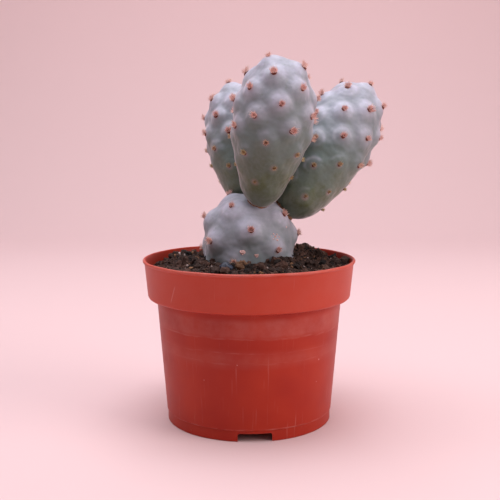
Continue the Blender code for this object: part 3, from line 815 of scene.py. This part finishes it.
# %% Visit the warts
def visit_warts(add, skin, spiral, here, sizes):
    """Add up a smooth dome for each wart, and keep the distance to the nearest one."""
    count = add("AttributeDomainSize", spiral, component="POINTCLOUD")
    start, finish = add("RepeatInput"), add("RepeatOutput")
    start.pair_with_output(finish)
    plug(start.inputs["Iterations"], count.outputs["Point Count"])
    plug(start.inputs["Geometry"], skin)
    wart = add("SampleIndex FLOAT_VECTOR", spiral, here, start.outputs["Iteration"])
    away = add("VectorMath DISTANCE", here, wart).outputs["Value"]
    reach = add("Math DIVIDE", away, sizes["Wart Radius"], use_clamp=True)
    drop = add("Math SUBTRACT", 1.0, add("Math MULTIPLY", reach, reach))
    dome = add("Math MULTIPLY", drop, drop)
    more = add("Math ADD", add("InputNamedAttribute FLOAT", "sum"), dome)
    nearest = add("InputNamedAttribute FLOAT", "near")
    nearer = add("Math MINIMUM", nearest, add("Math MULTIPLY", away, 1 / MM))
    visited = start.outputs["Geometry"]
    for name, value in (("sum", more), ("near", nearer)):
        visited = add("StoreNamedAttribute FLOAT", visited, True, name, value)
    plug(finish.inputs["Geometry"], visited)
    return finish.outputs["Geometry"]


# %% The recipe for the warty skin
VALLEY_FILL = 0.28            # the skin between warts is drawn up with them
SKIN_NOISE = ((7.0, 0.35), (1.6, 0.05))     # width and height of its slow and small bumps
FAR_AWAY = 100.0              # millimetres, before any wart is visited


def skin_lift(add, here, sizes):
    """How far the skin is moved out: warts at their grown height, and noise."""
    rise = add("InputNamedAttribute FLOAT", "rise")
    along = add("InputNamedAttribute FLOAT", "along")
    fuller = add("MapRange", rise, 0.0, 1.0, VALLEY_FILL, 1.0)
    lift = add("Math MULTIPLY", fuller, sizes["Wart Height"])
    lift = add("Math MULTIPLY", lift, wart_growth(add, along))
    for width, height in SKIN_NOISE:
        bumps = add("TexNoise", here, per_metre(width * MM), 2.0, 0.5)
        bumps = add("MapRange", bumps, 0.2, 0.8, -height * MM, height * MM)
        lift = add("Math ADD", lift, bumps)
    return lift


def make_skin_recipe():
    tree, add, sizes = new_recipe("warty skin", **JOINT_INPUTS, Finish=("Material", None))
    outline = from_recipe(add, outline_recipe, sizes)
    spiral = from_recipe(add, spiral_recipe, sizes)
    here = add("InputPosition")
    skin = wrapped_skin(add, outline, here)
    along = add("Math DIVIDE", add("SeparateXYZ", here).outputs[2], sizes["Length"])
    for name, value in (("along", along), ("sum", 0.0), ("near", FAR_AWAY)):
        skin = add("StoreNamedAttribute FLOAT", skin, True, name, value)
    skin = visit_warts(add, skin, spiral, here, sizes)
    rise = add("Math MINIMUM", add("InputNamedAttribute FLOAT", "sum"), 1.0)
    skin = add("StoreNamedAttribute FLOAT", skin, True, "rise", rise)
    skin = raised(add, skin, skin_lift(add, here, sizes))
    skin = add("Transform", skin, sizes["Foot"], sizes["Lean"])
    skin = add("SetShadeSmooth", skin, True, True)
    return close_recipe(tree, add, skin, sizes["Finish"])


skin_recipe = make_skin_recipe()

# %% [markdown]
# Now each joint is only a list of sizes. They repeat the sizes that the solid parts
# were made with: length, fullest radius and where it is, neck, and the spiral.

# %% Sizes and places of the four joints
def joint_sizes(foot, lean_front, lean_right, **sizes):
    """The sizes of one joint, given in millimetres, degrees and shares."""
    lengths = {"Length", "Radius", "Widest At", "Neck Radius", "Foot Rounding",
               "Wart Height", "Wart Radius"}
    values = {}
    for label, value in sizes.items():
        name = label.replace("_", " ")
        if name in lengths:
            value *= MM
        if name == "Spiral Start":
            value = math.radians(value)
        values[name] = float(value)
    values["Foot"] = tuple(Vector(foot) * MM + POT_AXIS)
    values["Lean"] = (math.radians(lean_front), math.radians(lean_right), 0.0)
    return values


JOINTS = {
    "base_joint": joint_sizes(
        (0, 0, 45.0), 0, 0, Length=44.8, Radius=17.3, Widest_At=27.0, Neck_Radius=17.0,
        Foot_Rounding=7, Swell=1.0, Skin_Shares=32.2, Bare_Shares=6.9, Spiral_Start=95.2,
        Turn=1, Wart_Height=2.3, Wart_Radius=6.6),
    "centre_joint": joint_sizes(
        (3.84, -8.53, 86.33), 8.4, 9.1, Length=56.7, Radius=14.5, Widest_At=32.2,
        Neck_Radius=7.0, Foot_Rounding=8, Swell=1.6, Skin_Shares=44.0, Bare_Shares=6.0,
        Spiral_Start=-108.7, Turn=-1, Wart_Height=1.9, Wart_Radius=5.9),
    "right_joint": joint_sizes(
        (13.89, -0.12, 81.89), -17.68, 34.63, Length=64.4, Radius=15.0, Widest_At=36.4,
        Neck_Radius=5.9, Foot_Rounding=8, Swell=0.7, Skin_Shares=47.7, Bare_Shares=3.7,
        Spiral_Start=58.1, Turn=-1, Wart_Height=1.9, Wart_Radius=5.9),
    "left_joint": joint_sizes(
        (-0.33, 9.44, 86.24), -17.3, -6.7, Length=50.2, Radius=13.5, Widest_At=27.2,
        Neck_Radius=7.1, Foot_Rounding=6, Swell=1.1, Skin_Shares=45.8, Bare_Shares=6.8,
        Spiral_Start=71.1, Turn=-1, Wart_Height=1.8, Wart_Radius=5.4),
}

skins = {}
for name, values in JOINTS.items():
    finish = old_epidermis if name == "base_joint" else young_epidermis
    skin = follow(skin_recipe, name + "_skin", {**values, "Finish": finish})
    low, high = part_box(name)
    tip = max(vertex.co.z for vertex in skin.data.vertices)
    print(f"  top {tip / MM:.1f} mm, the solid's {high.z / MM:.1f} mm")
    hand_over(skin, "cactus_skin", name)
    skins[name] = skin

# %% [markdown]
# ## Areoles and glochids
#
# Each wart ends in an areole: a pad of reddish-brown felt that carries dozens of
# glochids, barbed bristles a millimetre or two long and thinner than a hair. A hair
# system would be lost on export, so the bristles are thin cones of ten faces. They
# are set by the golden angle on the upper part of the pad, splayed outwards and
# leaning to the joint's tip, and are paler at the rim. They are drawn two to three
# times as thick as real ones so that they show.
#
# Felt, cork, peat and root bark are all dull and made of two tones at the size of
# their grain, so one function makes them all from their own numbers.

# %% A rough finish of two tones
def make_two_tone(name, dark, light, grain, detail, bump, spread=(0.35, 0.65),
                  stretch=None, tinted=False, **constants):
    """Two tones at grain size in millimetres; a bump's strength and depth; a tint."""
    material, add, shader = new_material(name, **constants)
    spot = add("TexCoord").outputs["Object"]
    if stretch:
        spot = add("VectorMath MULTIPLY", spot, stretch)
    fine = mixed = add("TexNoise", spot, per_metre(grain * MM), *detail)
    if tinted:
        tint = add("Attribute", attribute_name="tint").outputs["Fac"]
        mixed = add("Math MULTIPLY_ADD", fine, 0.7, tint)
    colour = add("Mix RGBA", add("MapRange", mixed, *spread), srgb(dark), srgb(light))
    relief = add("Bump", bump[0], bump[1] * MM, named={"Height": fine})
    wire(shader, Base_Color=colour, Normal=relief)
    return material


# %% Felt and bristle finishes
def make_glochid():
    """Translucent horn-like bristle: red-brown in the middle, pink-white outside."""
    material, add, shader = new_material(
        "barbed glochid bristle", Roughness=0.4, IOR=1.54, Sheen_Weight=0.2)
    tint = add("Attribute", attribute_name="tint").outputs["Fac"]
    share = add("Attribute", attribute_name="share").outputs["Fac"]
    spot = add("TexCoord").outputs["Object"]
    cloud = add("TexNoise", spot, per_metre(0.5 * MM), 1.0, 0.5)
    inner = add("Mix RGBA", add("MapRange", cloud, 0.35, 0.65), srgb("A75A4C"), srgb("DE9C8B"))
    young = add("Mix RGBA", add("MapRange", tint, 0.2, 0.9), inner, srgb("F8D6CB"))
    old = add("Mix RGBA", add("MapRange", tint, 0.3, 0.9), srgb("8A5A3C"), srgb("E8D49C"))
    age = add("MapRange", share, 0.34, 0.52)
    colour = add("Mix RGBA", age, old, young)
    wire(shader, Base_Color=colour)
    return material


felt = make_two_tone(
    "areole felt", "3C1913", "82463A", 0.35, (2.0, 0.6), (0.6, 0.1), Roughness=0.95,
    Sheen_Weight=0.5, Sheen_Roughness=0.5, Sheen_Tint=srgb("E0B09A"))
glochid = make_glochid()

# %% The bristles of one tuft
BRISTLE_TIP = 0.008 * MM
TINT_SEED = 7


def bristle_tuft(add, sizes, index):
    """Bristles on a golden-angle disc, splayed more towards its rim."""
    share = add("Math DIVIDE", add("Math ADD", index, 0.5), sizes["Bristles"])
    rim = add("Math SQRT", share)
    angle = add("Math MULTIPLY", index, GOLDEN_ANGLE)
    side = add(
        "VectorRotate", (1, 0, 0), (0, 0, 0), (0, 0, 1), angle, rotation_type="AXIS_ANGLE")
    out = add("Math MULTIPLY", rim, sizes["Pad Radius"])
    place = add("VectorMath SCALE", side, named={"Scale": out})
    place = add("VectorMath MULTIPLY_ADD", place, (1.0, 0.75, 1.0), (0, 0.3 * MM, 0))
    spots = add("SetPosition", add("Points", sizes["Bristles"]), True, place)
    jitter = add(
        "RandomValue FLOAT_VECTOR", (-0.35, 0.05, 0.8), (0.35, 0.75, 1.0), index, sizes["Seed"])
    splay = add("VectorMath SCALE", side, named={"Scale": add("Math MULTIPLY", rim, 0.42)})
    aim = add("VectorMath ADD", splay, jitter)
    rotation = add("AlignRotationToVector", None, 1.0, aim, axis="Z")
    size = add("RandomValue FLOAT", 0.55, 1.15, index, sizes["Seed"])
    bristle = add(
        "MeshCone", 4, 2, 1, BRISTLE_TIP, sizes["Bristle Radius"], sizes["Bristle Length"])
    tuft = add("InstanceOnPoints", spots, True, bristle, None, None, rotation, size)
    tint = add("RandomValue FLOAT", 0.0, 0.5, index, TINT_SEED)
    tint = add("Math MULTIPLY_ADD", rim, 0.6, tint)
    tuft = add("StoreNamedAttribute FLOAT", tuft, True, "tint", tint, domain="INSTANCE")
    return add("SetMaterial", add("RealizeInstances", tuft), True, sizes["Glochid"])


# %% How a tuft stands on its wart
def tuft_stance(add, sizes, outward, index):
    """Its upper side to the tip and a little spin; and its size, small on old skin."""
    stand = add("AlignRotationToVector", None, 1.0, outward, axis="Z")
    stand = add("AlignRotationToVector", stand, 1.0, (0, 0, 1), axis="Y", pivot_axis="Z")
    spin = add(
        "RandomValue FLOAT_VECTOR", (-0.15, -0.15, -0.5), (0.15, 0.15, 0.5), index,
        sizes["Seed"])
    spin = add("EulerToRotation", spin)
    stand = add("RotateRotation", stand, spin, rotation_space="LOCAL")
    vigour = add("RandomValue FLOAT", 0.9, 1.3, index, sizes["Seed"])
    grown = add("MapRange", add("InputNamedAttribute FLOAT", "share"), 0.15, 0.6, 0.48, 1.0)
    return stand, add("Math MULTIPLY", vigour, grown)


# %% The recipe for the tufts
PAD_SUNK = 0.05 * MM
PAD_FLATNESS = 0.42
BEND = 0.5 * MM


def make_tuft_recipe():
    tree, add, sizes = new_recipe(
        "glochid tufts", **JOINT_INPUTS, Pad_Radius=("Float", 0.95 * MM),
        Bristles=("Int", 90), Bristle_Length=("Float", 1.75 * MM),
        Bristle_Radius=("Float", 0.1 * MM), Seed=("Int", 1),
        Felt=("Material", None), Glochid=("Material", None))
    spiral = from_recipe(add, spiral_recipe, sizes)
    outward = add("InputNamedAttribute FLOAT_VECTOR", "outward")
    height = add("SeparateXYZ", add("InputPosition")).outputs[2]
    grown = wart_growth(add, add("Math DIVIDE", height, sizes["Length"]))
    lift = add("Math MULTIPLY_ADD", sizes["Wart Height"], grown, -PAD_SUNK)
    offset = add("VectorMath SCALE", outward, named={"Scale": lift})
    spiral = add("SetPosition", spiral, True, None, offset)

    # a felt pad, which is a low dome, and a tuft on every wart
    pad = add("MeshIcoSphere", sizes["Pad Radius"], 2)
    pad = add("Transform", pad, None, None, (1.0, 1.0, PAD_FLATNESS))
    pad = add("SetMaterial", pad, True, sizes["Felt"])
    index = add("InputIndex")
    tuft = bristle_tuft(add, sizes, index)
    stand, vigour = tuft_stance(add, sizes, outward, index)
    both = add("JoinGeometry")
    for part in (pad, tuft):
        plug(both.inputs[0], add(
            "InstanceOnPoints", spiral, True, part, None, None, stand, vigour))
    both = add("RealizeInstances", both)

    # no two tufts alike: bend every bristle a little
    bend = add("TexNoise", add("InputPosition"), per_metre(0.8 * MM), 1.0, 0.5)
    bend = add("VectorMath SUBTRACT", bend.outputs["Color"], (0.5, 0.5, 0.5))
    bend = add("VectorMath SCALE", bend, named={"Scale": BEND})
    both = add("SetPosition", both, True, None, bend)
    both = add("Transform", both, sizes["Foot"], sizes["Lean"])
    add("NodeGroupOutput", both)
    return tree


tuft_recipe = make_tuft_recipe()
for seed, (name, values) in enumerate(JOINTS.items()):
    tufts = follow(tuft_recipe, name + "_tufts", {
        **values, "Seed": seed + 1, "Felt": felt, "Glochid": glochid})
    hand_over(tufts, "cactus_skin")

# %% [markdown]
# ## Corky rims and scars
#
# Where a young joint grows out of the old one the skin has torn and healed as a thin
# brown, corky rim. Its path is wherever the two skins meet, so it is found from the
# meshes: every edge of the young joint that passes through the old skin gives one
# point. A recipe turns that path into a bead whose thickness wanders. Old injuries
# on the base joint have healed the same way, as small raised corky spots.

# %% Cork
cork = make_two_tone(
    "corky callus", "4A2A1E", "A67C5C", 0.6, (4.0, 0.65), (0.8, 0.15), Roughness=0.9)
scar_cork = make_two_tone(
    "pale healed cork", "A9695F", "F0CFCA", 0.6, (4.0, 0.65), (0.8, 0.15), Roughness=0.9)

# %% Find where the skins meet
NECK_REACH = 16 * MM
RIM_THICKNESS = {"centre_joint": 0.45, "right_joint": 0.95, "left_joint": 0.45}


def skin_tree(mesh):
    return BVHTree.FromPolygons(
        [vertex.co for vertex in mesh.vertices], [face.vertices for face in mesh.polygons])


base_tree = skin_tree(skins["base_joint"].data)


def depth_in_base(point):
    """How far a point is above the old skin; below zero is inside it."""
    place, normal, _, _ = base_tree.find_nearest(point)
    return (point - place).dot(normal)


def junction_path(name, steps=72):
    """Points round a young joint where its skin leaves the old one."""
    mesh = skins[name].data
    foot = Vector(JOINTS[name]["Foot"])
    level = Euler(JOINTS[name]["Lean"]).to_matrix().inverted()
    depths = {
        vertex.index: depth_in_base(vertex.co) for vertex in mesh.vertices
        if (vertex.co - foot).length < NECK_REACH}
    bins = [[] for _ in range(steps)]
    for edge in mesh.edges:
        a, b = edge.vertices
        if a not in depths or b not in depths or (depths[a] < 0) == (depths[b] < 0):
            continue
        share = depths[a] / (depths[a] - depths[b])
        point = mesh.vertices[a].co.lerp(mesh.vertices[b].co, share)
        local = level @ (point - foot)
        bearing = math.atan2(local.y, local.x) % math.tau
        bins[int(bearing / math.tau * steps) % steps].append(point)
    return [sum(found, Vector()) / len(found) for found in bins if found]


# %% The recipe for a bead along a closed path
def make_rim_recipe():
    tree, add, sizes = new_recipe(
        "corky rim", Geometry=("Geometry", None), Thickness=("Float", 0.5 * MM),
        Finish=("Material", None))
    curve = add("MeshToCurve", sizes["Geometry"])
    curve = add("ResampleCurve", curve, True, 260)
    here = add("InputPosition")
    wander = add("TexNoise", here, per_metre(2.2 * MM), 2.0, 0.6)
    wander = add("MapRange", wander, 0.3, 0.7, 0.35, 1.5)
    width = add("Math MULTIPLY", wander, sizes["Thickness"])
    circle = add("CurvePrimitiveCircle", 14, named={"Radius": 1.0})
    bead = add("CurveToMesh", curve, circle, width)
    rough = add("TexNoise", here, per_metre(0.7 * MM), 2.0, 0.6)
    rough = add("MapRange", rough, 0.2, 0.8, -0.22 * MM, 0.22 * MM)
    bead = raised(add, bead, rough)
    bead = add("SetShadeSmooth", bead, True, True)
    return close_recipe(tree, add, bead, sizes["Finish"])


rim_recipe = make_rim_recipe()
for name, thickness in RIM_THICKNESS.items():
    path = junction_path(name)
    ring = bpy.data.meshes.new(name + " path")
    ring.from_pydata(path, [(i, (i + 1) % len(path)) for i in range(len(path))], [])
    print(f"{name}: rim through {len(path)} points")
    rim = follow(
        rim_recipe, name + "_rim", {"Thickness": thickness * MM, "Finish": cork}, ring)
    hand_over(rim, "cactus_skin")

# %% Scars: bearing from the front in degrees, height and radius in millimetres
SCARS = (
    (-7.6, 69.6, 1.1), (9.5, 68.2, 0.8), (34.0, 75.2, 0.55), (37.0, 76.0, 0.35),
    (35.5, 74.0, 0.4), (39.5, 75.0, 0.35), (31.0, 74.4, 0.35), (32.5, 76.3, 0.3),
    (29.5, 75.5, 0.25), (55.0, 78.4, 0.35), (118.0, 72.0, 0.7), (-104.0, 75.0, 0.5),
    (171.0, 70.5, 0.8), (-150.0, 77.0, 0.4))


def make_scar_recipe():
    tree, add, sizes = new_recipe(
        "corky scars", Geometry=("Geometry", None), Flatness=("Float", 0.3),
        Finish=("Material", None))
    outward = add("InputNamedAttribute FLOAT_VECTOR", "outward")
    size = add("InputNamedAttribute FLOAT", "size")
    flat = add("CombineXYZ", 1.0, 0.8, sizes["Flatness"])
    pad = add("MeshIcoSphere", 1.0, 3)
    pad = add("Transform", pad, None, None, flat)
    stand = add("AlignRotationToVector", None, 1.0, outward, axis="Z")
    pads = add("InstanceOnPoints", sizes["Geometry"], True, pad, None, None, stand, size)
    pads = add("RealizeInstances", pads)
    here = add("InputPosition")
    rough = add("TexNoise", here, per_metre(0.6 * MM), 2.0, 0.6)
    rough = add("MapRange", rough, 0.2, 0.8, -0.3 * MM, 0.3 * MM)
    pads = raised(add, pads, rough)
    return close_recipe(tree, add, pads, sizes["Finish"])


def scar_points():
    places, outward, sizes = [], [], []
    for bearing, height, radius in SCARS:
        out = at_bearing(math.radians(bearing), 40)
        start = POT_AXIS + out + Vector((0, 0, height * MM))
        place, normal, _, _ = base_tree.ray_cast(start, -out.normalized())
        places.append(place)
        outward.extend(normal)
        sizes.append(radius * MM)
    mesh = bpy.data.meshes.new("scar points")
    mesh.from_pydata(places, [], [])
    mesh.attributes.new("outward", "FLOAT_VECTOR", "POINT").data.foreach_set("vector", outward)
    mesh.attributes.new("size", "FLOAT", "POINT").data.foreach_set("value", sizes)
    return mesh


scars = follow(make_scar_recipe(), "base_joint_scars", {"Finish": scar_cork}, scar_points())
hand_over(scars, "cactus_skin")

# %% [markdown]
# ## Potting soil
#
# Peat compost is a dark brown mass of crumbs from a fraction of a millimetre up to
# several, with pale quartz grit, a few white perlite grains and bits of bark. The
# surface follows the same slope and mound as the solid part, with its own finer
# bumps, and the crumbs are scattered on it by Geometry Nodes.

# %% Soil finishes
def make_crumbly(name, dark, light, grain, roughness, **constants):
    """Two tones at grain size, each crumb with a shade of its own."""
    return make_two_tone(
        name, dark, light, grain, (3.0, 0.6), (0.8, grain / 3), (0.35, 1.15), tinted=True,
        Roughness=roughness, **constants)


peat = make_crumbly("damp peat", "110A08", "50362C", 0.7, 0.95)
quartz = make_crumbly("quartz and perlite grit", "75605A", "DAC3BE", 0.5, 0.45, IOR=1.54)
bark_bits = make_crumbly("composted pine bark", "351E12", "8C6343", 0.5, 0.85)
blue_stone = make_crumbly("blue-grey stone", "10131F", "383E55", 0.9, 0.55, IOR=1.52)

# %% The surface of the soil, as the solid part has it
SOIL_LEFT, SOIL_RIGHT = 4.4, 2.6
MOUND_HEIGHT, MOUND_REACH = 3.4, 11.0
HEAPS = (                     # height, bearing, distance from the wall and reach
    (3.4, 133, 9.0, 10.0), (3.2, -102, 12.0, 7.0))
EDGE_FADE = 6.0
BASE_RADIUS = 17.3
CAP_HEIGHT = 58               # where the mass is closed before its top is laid on
SOIL_GAP = 0.3                # between the mass and the wall
SOIL_STEPS, SOIL_RINGS = 220, 110
SHELF = COLLAR_BOTTOM + WALL


def inside_radius(height):
    """Inside of the pot's wall at a height, in millimetres."""
    if height < SHELF:
        share = (height - WALL_BOTTOM) / (COLLAR_BOTTOM - WALL_BOTTOM)
        return WALL_FOOT + (WALL_TOP - WALL_FOOT) * share - WALL
    share = (height - COLLAR_BOTTOM) / (RIM - 2 * LIP_BEAD - COLLAR_BOTTOM)
    return COLLAR_LOW + (COLLAR_TOP - COLLAR_LOW) * share - WALL


def soil_height(x, y):
    """Height in millimetres of the soil over a place round the pot's axis."""
    distance = math.hypot(x, y)
    across = 0.5 + 0.5 * x / (RIM_RADIUS / MM)
    level = RIM - (SOIL_LEFT + (SOIL_RIGHT - SOIL_LEFT) * across)
    fade = min(1.0, max(0.0, (inside_radius(level) - distance) / EDGE_FADE)) ** 1.5
    mound = MOUND_HEIGHT * math.exp(-(max(0.0, distance - BASE_RADIUS) / MOUND_REACH) ** 2)
    heap = 0.0
    for height, bearing, from_wall, reach in HEAPS:
        place = at_bearing(math.radians(bearing), inside_radius(level) - from_wall) / MM
        heap += height * math.exp(-((x - place.x) ** 2 + (y - place.y) ** 2) / reach ** 2)
    bumps = noise.noise(Vector((x, y, 0)) / 6.0)
    fine = 0.6 * noise.noise(Vector((x, y, 9)) / 2.1)
    fine += 0.4 * noise.noise(Vector((x, y, 5)) / 0.9)
    return level + fade * (mound + heap + bumps) + min(1.0, 0.3 + fade) * fine


def make_soil():
    """A closed mass of soil that fills the pot; its top ring stops at the wall."""
    gap, steps, rings = SOIL_GAP, SOIL_STEPS, SOIL_RINGS
    floor_top = FLOOR_UNDERSIDE + WALL + gap
    sides = [
        (0, floor_top), (15, floor_top), (inside_radius(6) - gap - 1, floor_top),
        (inside_radius(6) - gap, floor_top + 1), (WALL_TOP - WALL - gap, SHELF + gap),
        (inside_radius(SHELF) - gap - 1.2, SHELF + gap),
        (inside_radius(SHELF) - gap, SHELF + gap + 1.2)]
    skin = turned(sides + [(0, CAP_HEIGHT)], steps)
    cap = [v for v in skin.verts if abs(v.co.z - CAP_HEIGHT * MM) < 1e-6]
    bmesh.ops.delete(skin, geom=cap, context="VERTS")
    border = sorted(
        {v for e in skin.edges if e.is_boundary for v in e.verts},
        key=lambda v: math.atan2(v.co.y, v.co.x) % math.tau)
    angles = [math.atan2(v.co.y, v.co.x) for v in border]
    edge = inside_radius(RIM - SOIL_LEFT) - 0.15
    below = border
    for k in range(rings):
        radius = edge * (1 - k / rings)
        ring = []
        for a in angles:
            x, y = radius * math.cos(a), radius * math.sin(a)
            ring.append(skin.verts.new((x * MM, y * MM, soil_height(x, y) * MM)))
        for i in range(steps):
            j = (i + 1) % steps
            skin.faces.new((below[i], below[j], ring[j], ring[i]))
        below = ring
    middle = skin.verts.new((0, 0, soil_height(0, 0) * MM))
    for i in range(steps):
        skin.faces.new((below[i], below[(i + 1) % steps], middle))
    bmesh.ops.recalc_face_normals(skin, faces=skin.faces)
    mesh = mesh_of("soil_mass", skin)
    mesh.transform(TO_FRAME)
    mesh.shade_smooth()
    return place_piece("soil_mass", mesh)


def paint_tint(mesh, shade):
    """The same shade on every point, where a crumb would have its own."""
    tint = mesh.attributes.new("tint", "FLOAT", "POINT")
    tint.data.foreach_set("value", [shade] * len(mesh.vertices))


soil_mass = make_soil()
paint_tint(soil_mass.data, 0.3)
soil_mass.data.materials.append(peat)
hand_over(soil_mass, "peat", "soil")

# %% [markdown]
# Crumbs are small spheres with a few dozen faces. They are scattered over the open
# soil, turned and sized at random with many more small ones than large, sunk a
# little, and only then dented by noise, so that no two have the same shape.

# %% The recipe for scattered crumbs
def make_scatter_recipe():
    tree, add, sizes = new_recipe(
        "scattered crumbs", Geometry=("Geometry", None), Spacing=("Float", MM),
        Density=("Float", 100000.0), Smallest=("Float", 0.3 * MM), Largest=("Float", 1.5 * MM),
        Flatness=("Float", 0.7), Roughness=("Float", 0.5), Detail=("Int", 2),
        Sink=("Float", 0.2), Seed=("Int", 1), Finish=("Material", None))
    points = add(
        "DistributePointsOnFaces", sizes["Geometry"], True, sizes["Spacing"], sizes["Density"],
        1.0, sizes["Seed"], distribute_method="POISSON")
    index = add("InputIndex")
    luck = add("RandomValue FLOAT", 0.0, 1.0, index, sizes["Seed"])
    rare = add("Math POWER", luck, 3.0)
    size = add("MapRange", rare, 0.0, 1.0, sizes["Smallest"], sizes["Largest"])
    depth = add("Math MULTIPLY", size, sizes["Sink"])
    sunk = add("Math MULTIPLY", depth, -1.0)
    down = add("CombineXYZ", 0.0, 0.0, sunk)
    points = add("SetPosition", points, True, None, down)
    spin = add(
        "RandomValue FLOAT_VECTOR", (0, 0, 0), (math.tau, math.tau, math.tau), index,
        sizes["Seed"])
    spin = add("EulerToRotation", spin)
    grain = add("MeshIcoSphere", 0.5, sizes["Detail"])
    flat = add("CombineXYZ", 1.0, 0.85, sizes["Flatness"])
    grain = add("Transform", grain, None, None, flat)
    crumbs = add("InstanceOnPoints", points, True, grain, None, None, spin, size)
    tint = add("RandomValue FLOAT", 0.0, 1.0, index, 11)
    crumbs = add("StoreNamedAttribute FLOAT", crumbs, True, "tint", tint, domain="INSTANCE")
    crumbs = add("StoreNamedAttribute FLOAT", crumbs, True, "size", size, domain="INSTANCE")
    crumbs = add("RealizeInstances", crumbs)

    # dent each crumb by noise about half its own size
    here = add("InputPosition")
    own = add("InputNamedAttribute FLOAT", "size")
    scale = add("Math DIVIDE", 1.9, own)
    dent = add("TexNoise", here, scale, 2.0, 0.6)
    dent = add("Math SUBTRACT", dent, 0.5)
    dent = add("Math MULTIPLY", dent, own)
    dent = add("Math MULTIPLY", dent, sizes["Roughness"])
    crumbs = raised(add, crumbs, dent)
    return close_recipe(tree, add, crumbs, sizes["Finish"])


scatter_recipe = make_scatter_recipe()

# %% Scatter the crumbs, the grit and the bark
OPEN_ABOVE, OPEN_RADIUS = 57, 39.0


def open_soil():
    """A copy of the soil's top that is neither under the plant nor at the wall."""
    skin = bmesh.new()
    skin.from_mesh(soil_mass.data)
    hidden = []
    for face in skin.faces:
        middle = face.calc_center_median() - POT_AXIS
        distance = math.hypot(middle.x, middle.y) / MM
        if middle.z < OPEN_ABOVE * MM or not BASE_RADIUS - 1.5 < distance < OPEN_RADIUS:
            hidden.append(face)
    bmesh.ops.delete(skin, geom=hidden, context="FACES")
    return mesh_of("open soil", skin)


SCATTERS = (
    ("peat_crumbs_small", peat, "peat", dict(
        Spacing=0.66 * MM, Density=5000000.0, Smallest=0.55 * MM, Largest=1.7 * MM,
        Flatness=0.8, Roughness=1.2, Detail=1, Sink=0.0, Seed=3)),
    ("peat_crumbs", peat, "peat", dict(
        Spacing=1.6 * MM, Density=300000.0, Smallest=1.1 * MM, Largest=4.4 * MM,
        Flatness=0.8, Roughness=1.4, Detail=2, Sink=-0.12, Seed=5)),
    ("quartz_grit", quartz, "stone", dict(
        Spacing=1.9 * MM, Density=75000.0, Smallest=0.3 * MM, Largest=1.3 * MM,
        Flatness=0.8, Roughness=0.9, Detail=1, Sink=-0.35, Seed=8)),
    ("bark_crumbs", bark_bits, "bark", dict(
        Spacing=2.6 * MM, Density=60000.0, Smallest=0.6 * MM, Largest=2.4 * MM,
        Flatness=0.4, Roughness=1.0, Detail=2, Sink=-0.25, Seed=13)),
)
for name, finish, slot, values in SCATTERS:
    crumbs = follow(scatter_recipe, name, {**values, "Finish": finish}, open_soil())
    hand_over(crumbs, slot)

# %% [markdown]
# ## The lumps on the soil
#
# The solid part has a grey stone, a bark chip and nine peat lumps. A finer copy of
# each is made from its own solid: doubles merged, faces split, and dented by noise.

# %% Finer lumps
def make_lump(node, finish, slot, dent_size, dent):
    skin = bmesh.new()
    skin.from_mesh(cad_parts[node].data)
    bmesh.ops.remove_doubles(skin, verts=skin.verts, dist=0.005 * MM)
    bmesh.ops.subdivide_edges(skin, edges=skin.edges, cuts=3, use_grid_fill=True)
    bmesh.ops.triangulate(skin, faces=skin.faces)
    bmesh.ops.smooth_vert(
        skin, verts=skin.verts, factor=0.5, use_axis_x=True, use_axis_y=True, use_axis_z=True)
    bmesh.ops.recalc_face_normals(skin, faces=skin.faces)
    skin.normal_update()
    for vertex in skin.verts:
        depth = noise.fractal(vertex.co / dent_size, 0.7, 2.1, 3)
        vertex.co += vertex.normal * depth * dent
    mesh = mesh_of(node + "_fine", skin)
    mesh.shade_smooth()
    mesh.materials.append(finish)
    paint_tint(mesh, 0.35)
    piece = place_piece(node + "_fine", mesh)
    hand_over(piece, slot, node)


make_lump("grey_stone", blue_stone, "stone", 1.6 * MM, 0.25 * MM)
make_lump("bark_chip", bark_bits, "bark", 0.9 * MM, 0.6 * MM)
for i in range(1, 10):
    make_lump(f"peat_lump_{i}", peat, "peat", 1.0 * MM, 0.55 * MM)

# %% [markdown]
# ## Roots
#
# The roots are buried, so their solid is kept as it is and only gets its finish:
# the thin, pale brown, lengthwise wrinkled bark of a cactus's tap root.

# %% Root bark
root_bark = make_two_tone(
    "wrinkled root bark", "6A4A30", "B08C62", 0.9, (4.0, 0.6), (0.7, 0.2), (0.3, 0.7),
    stretch=(1.0, 1.0, 0.25), Roughness=0.85)
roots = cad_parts["roots"]
for slot in roots.material_slots:
    slot.material = root_bark
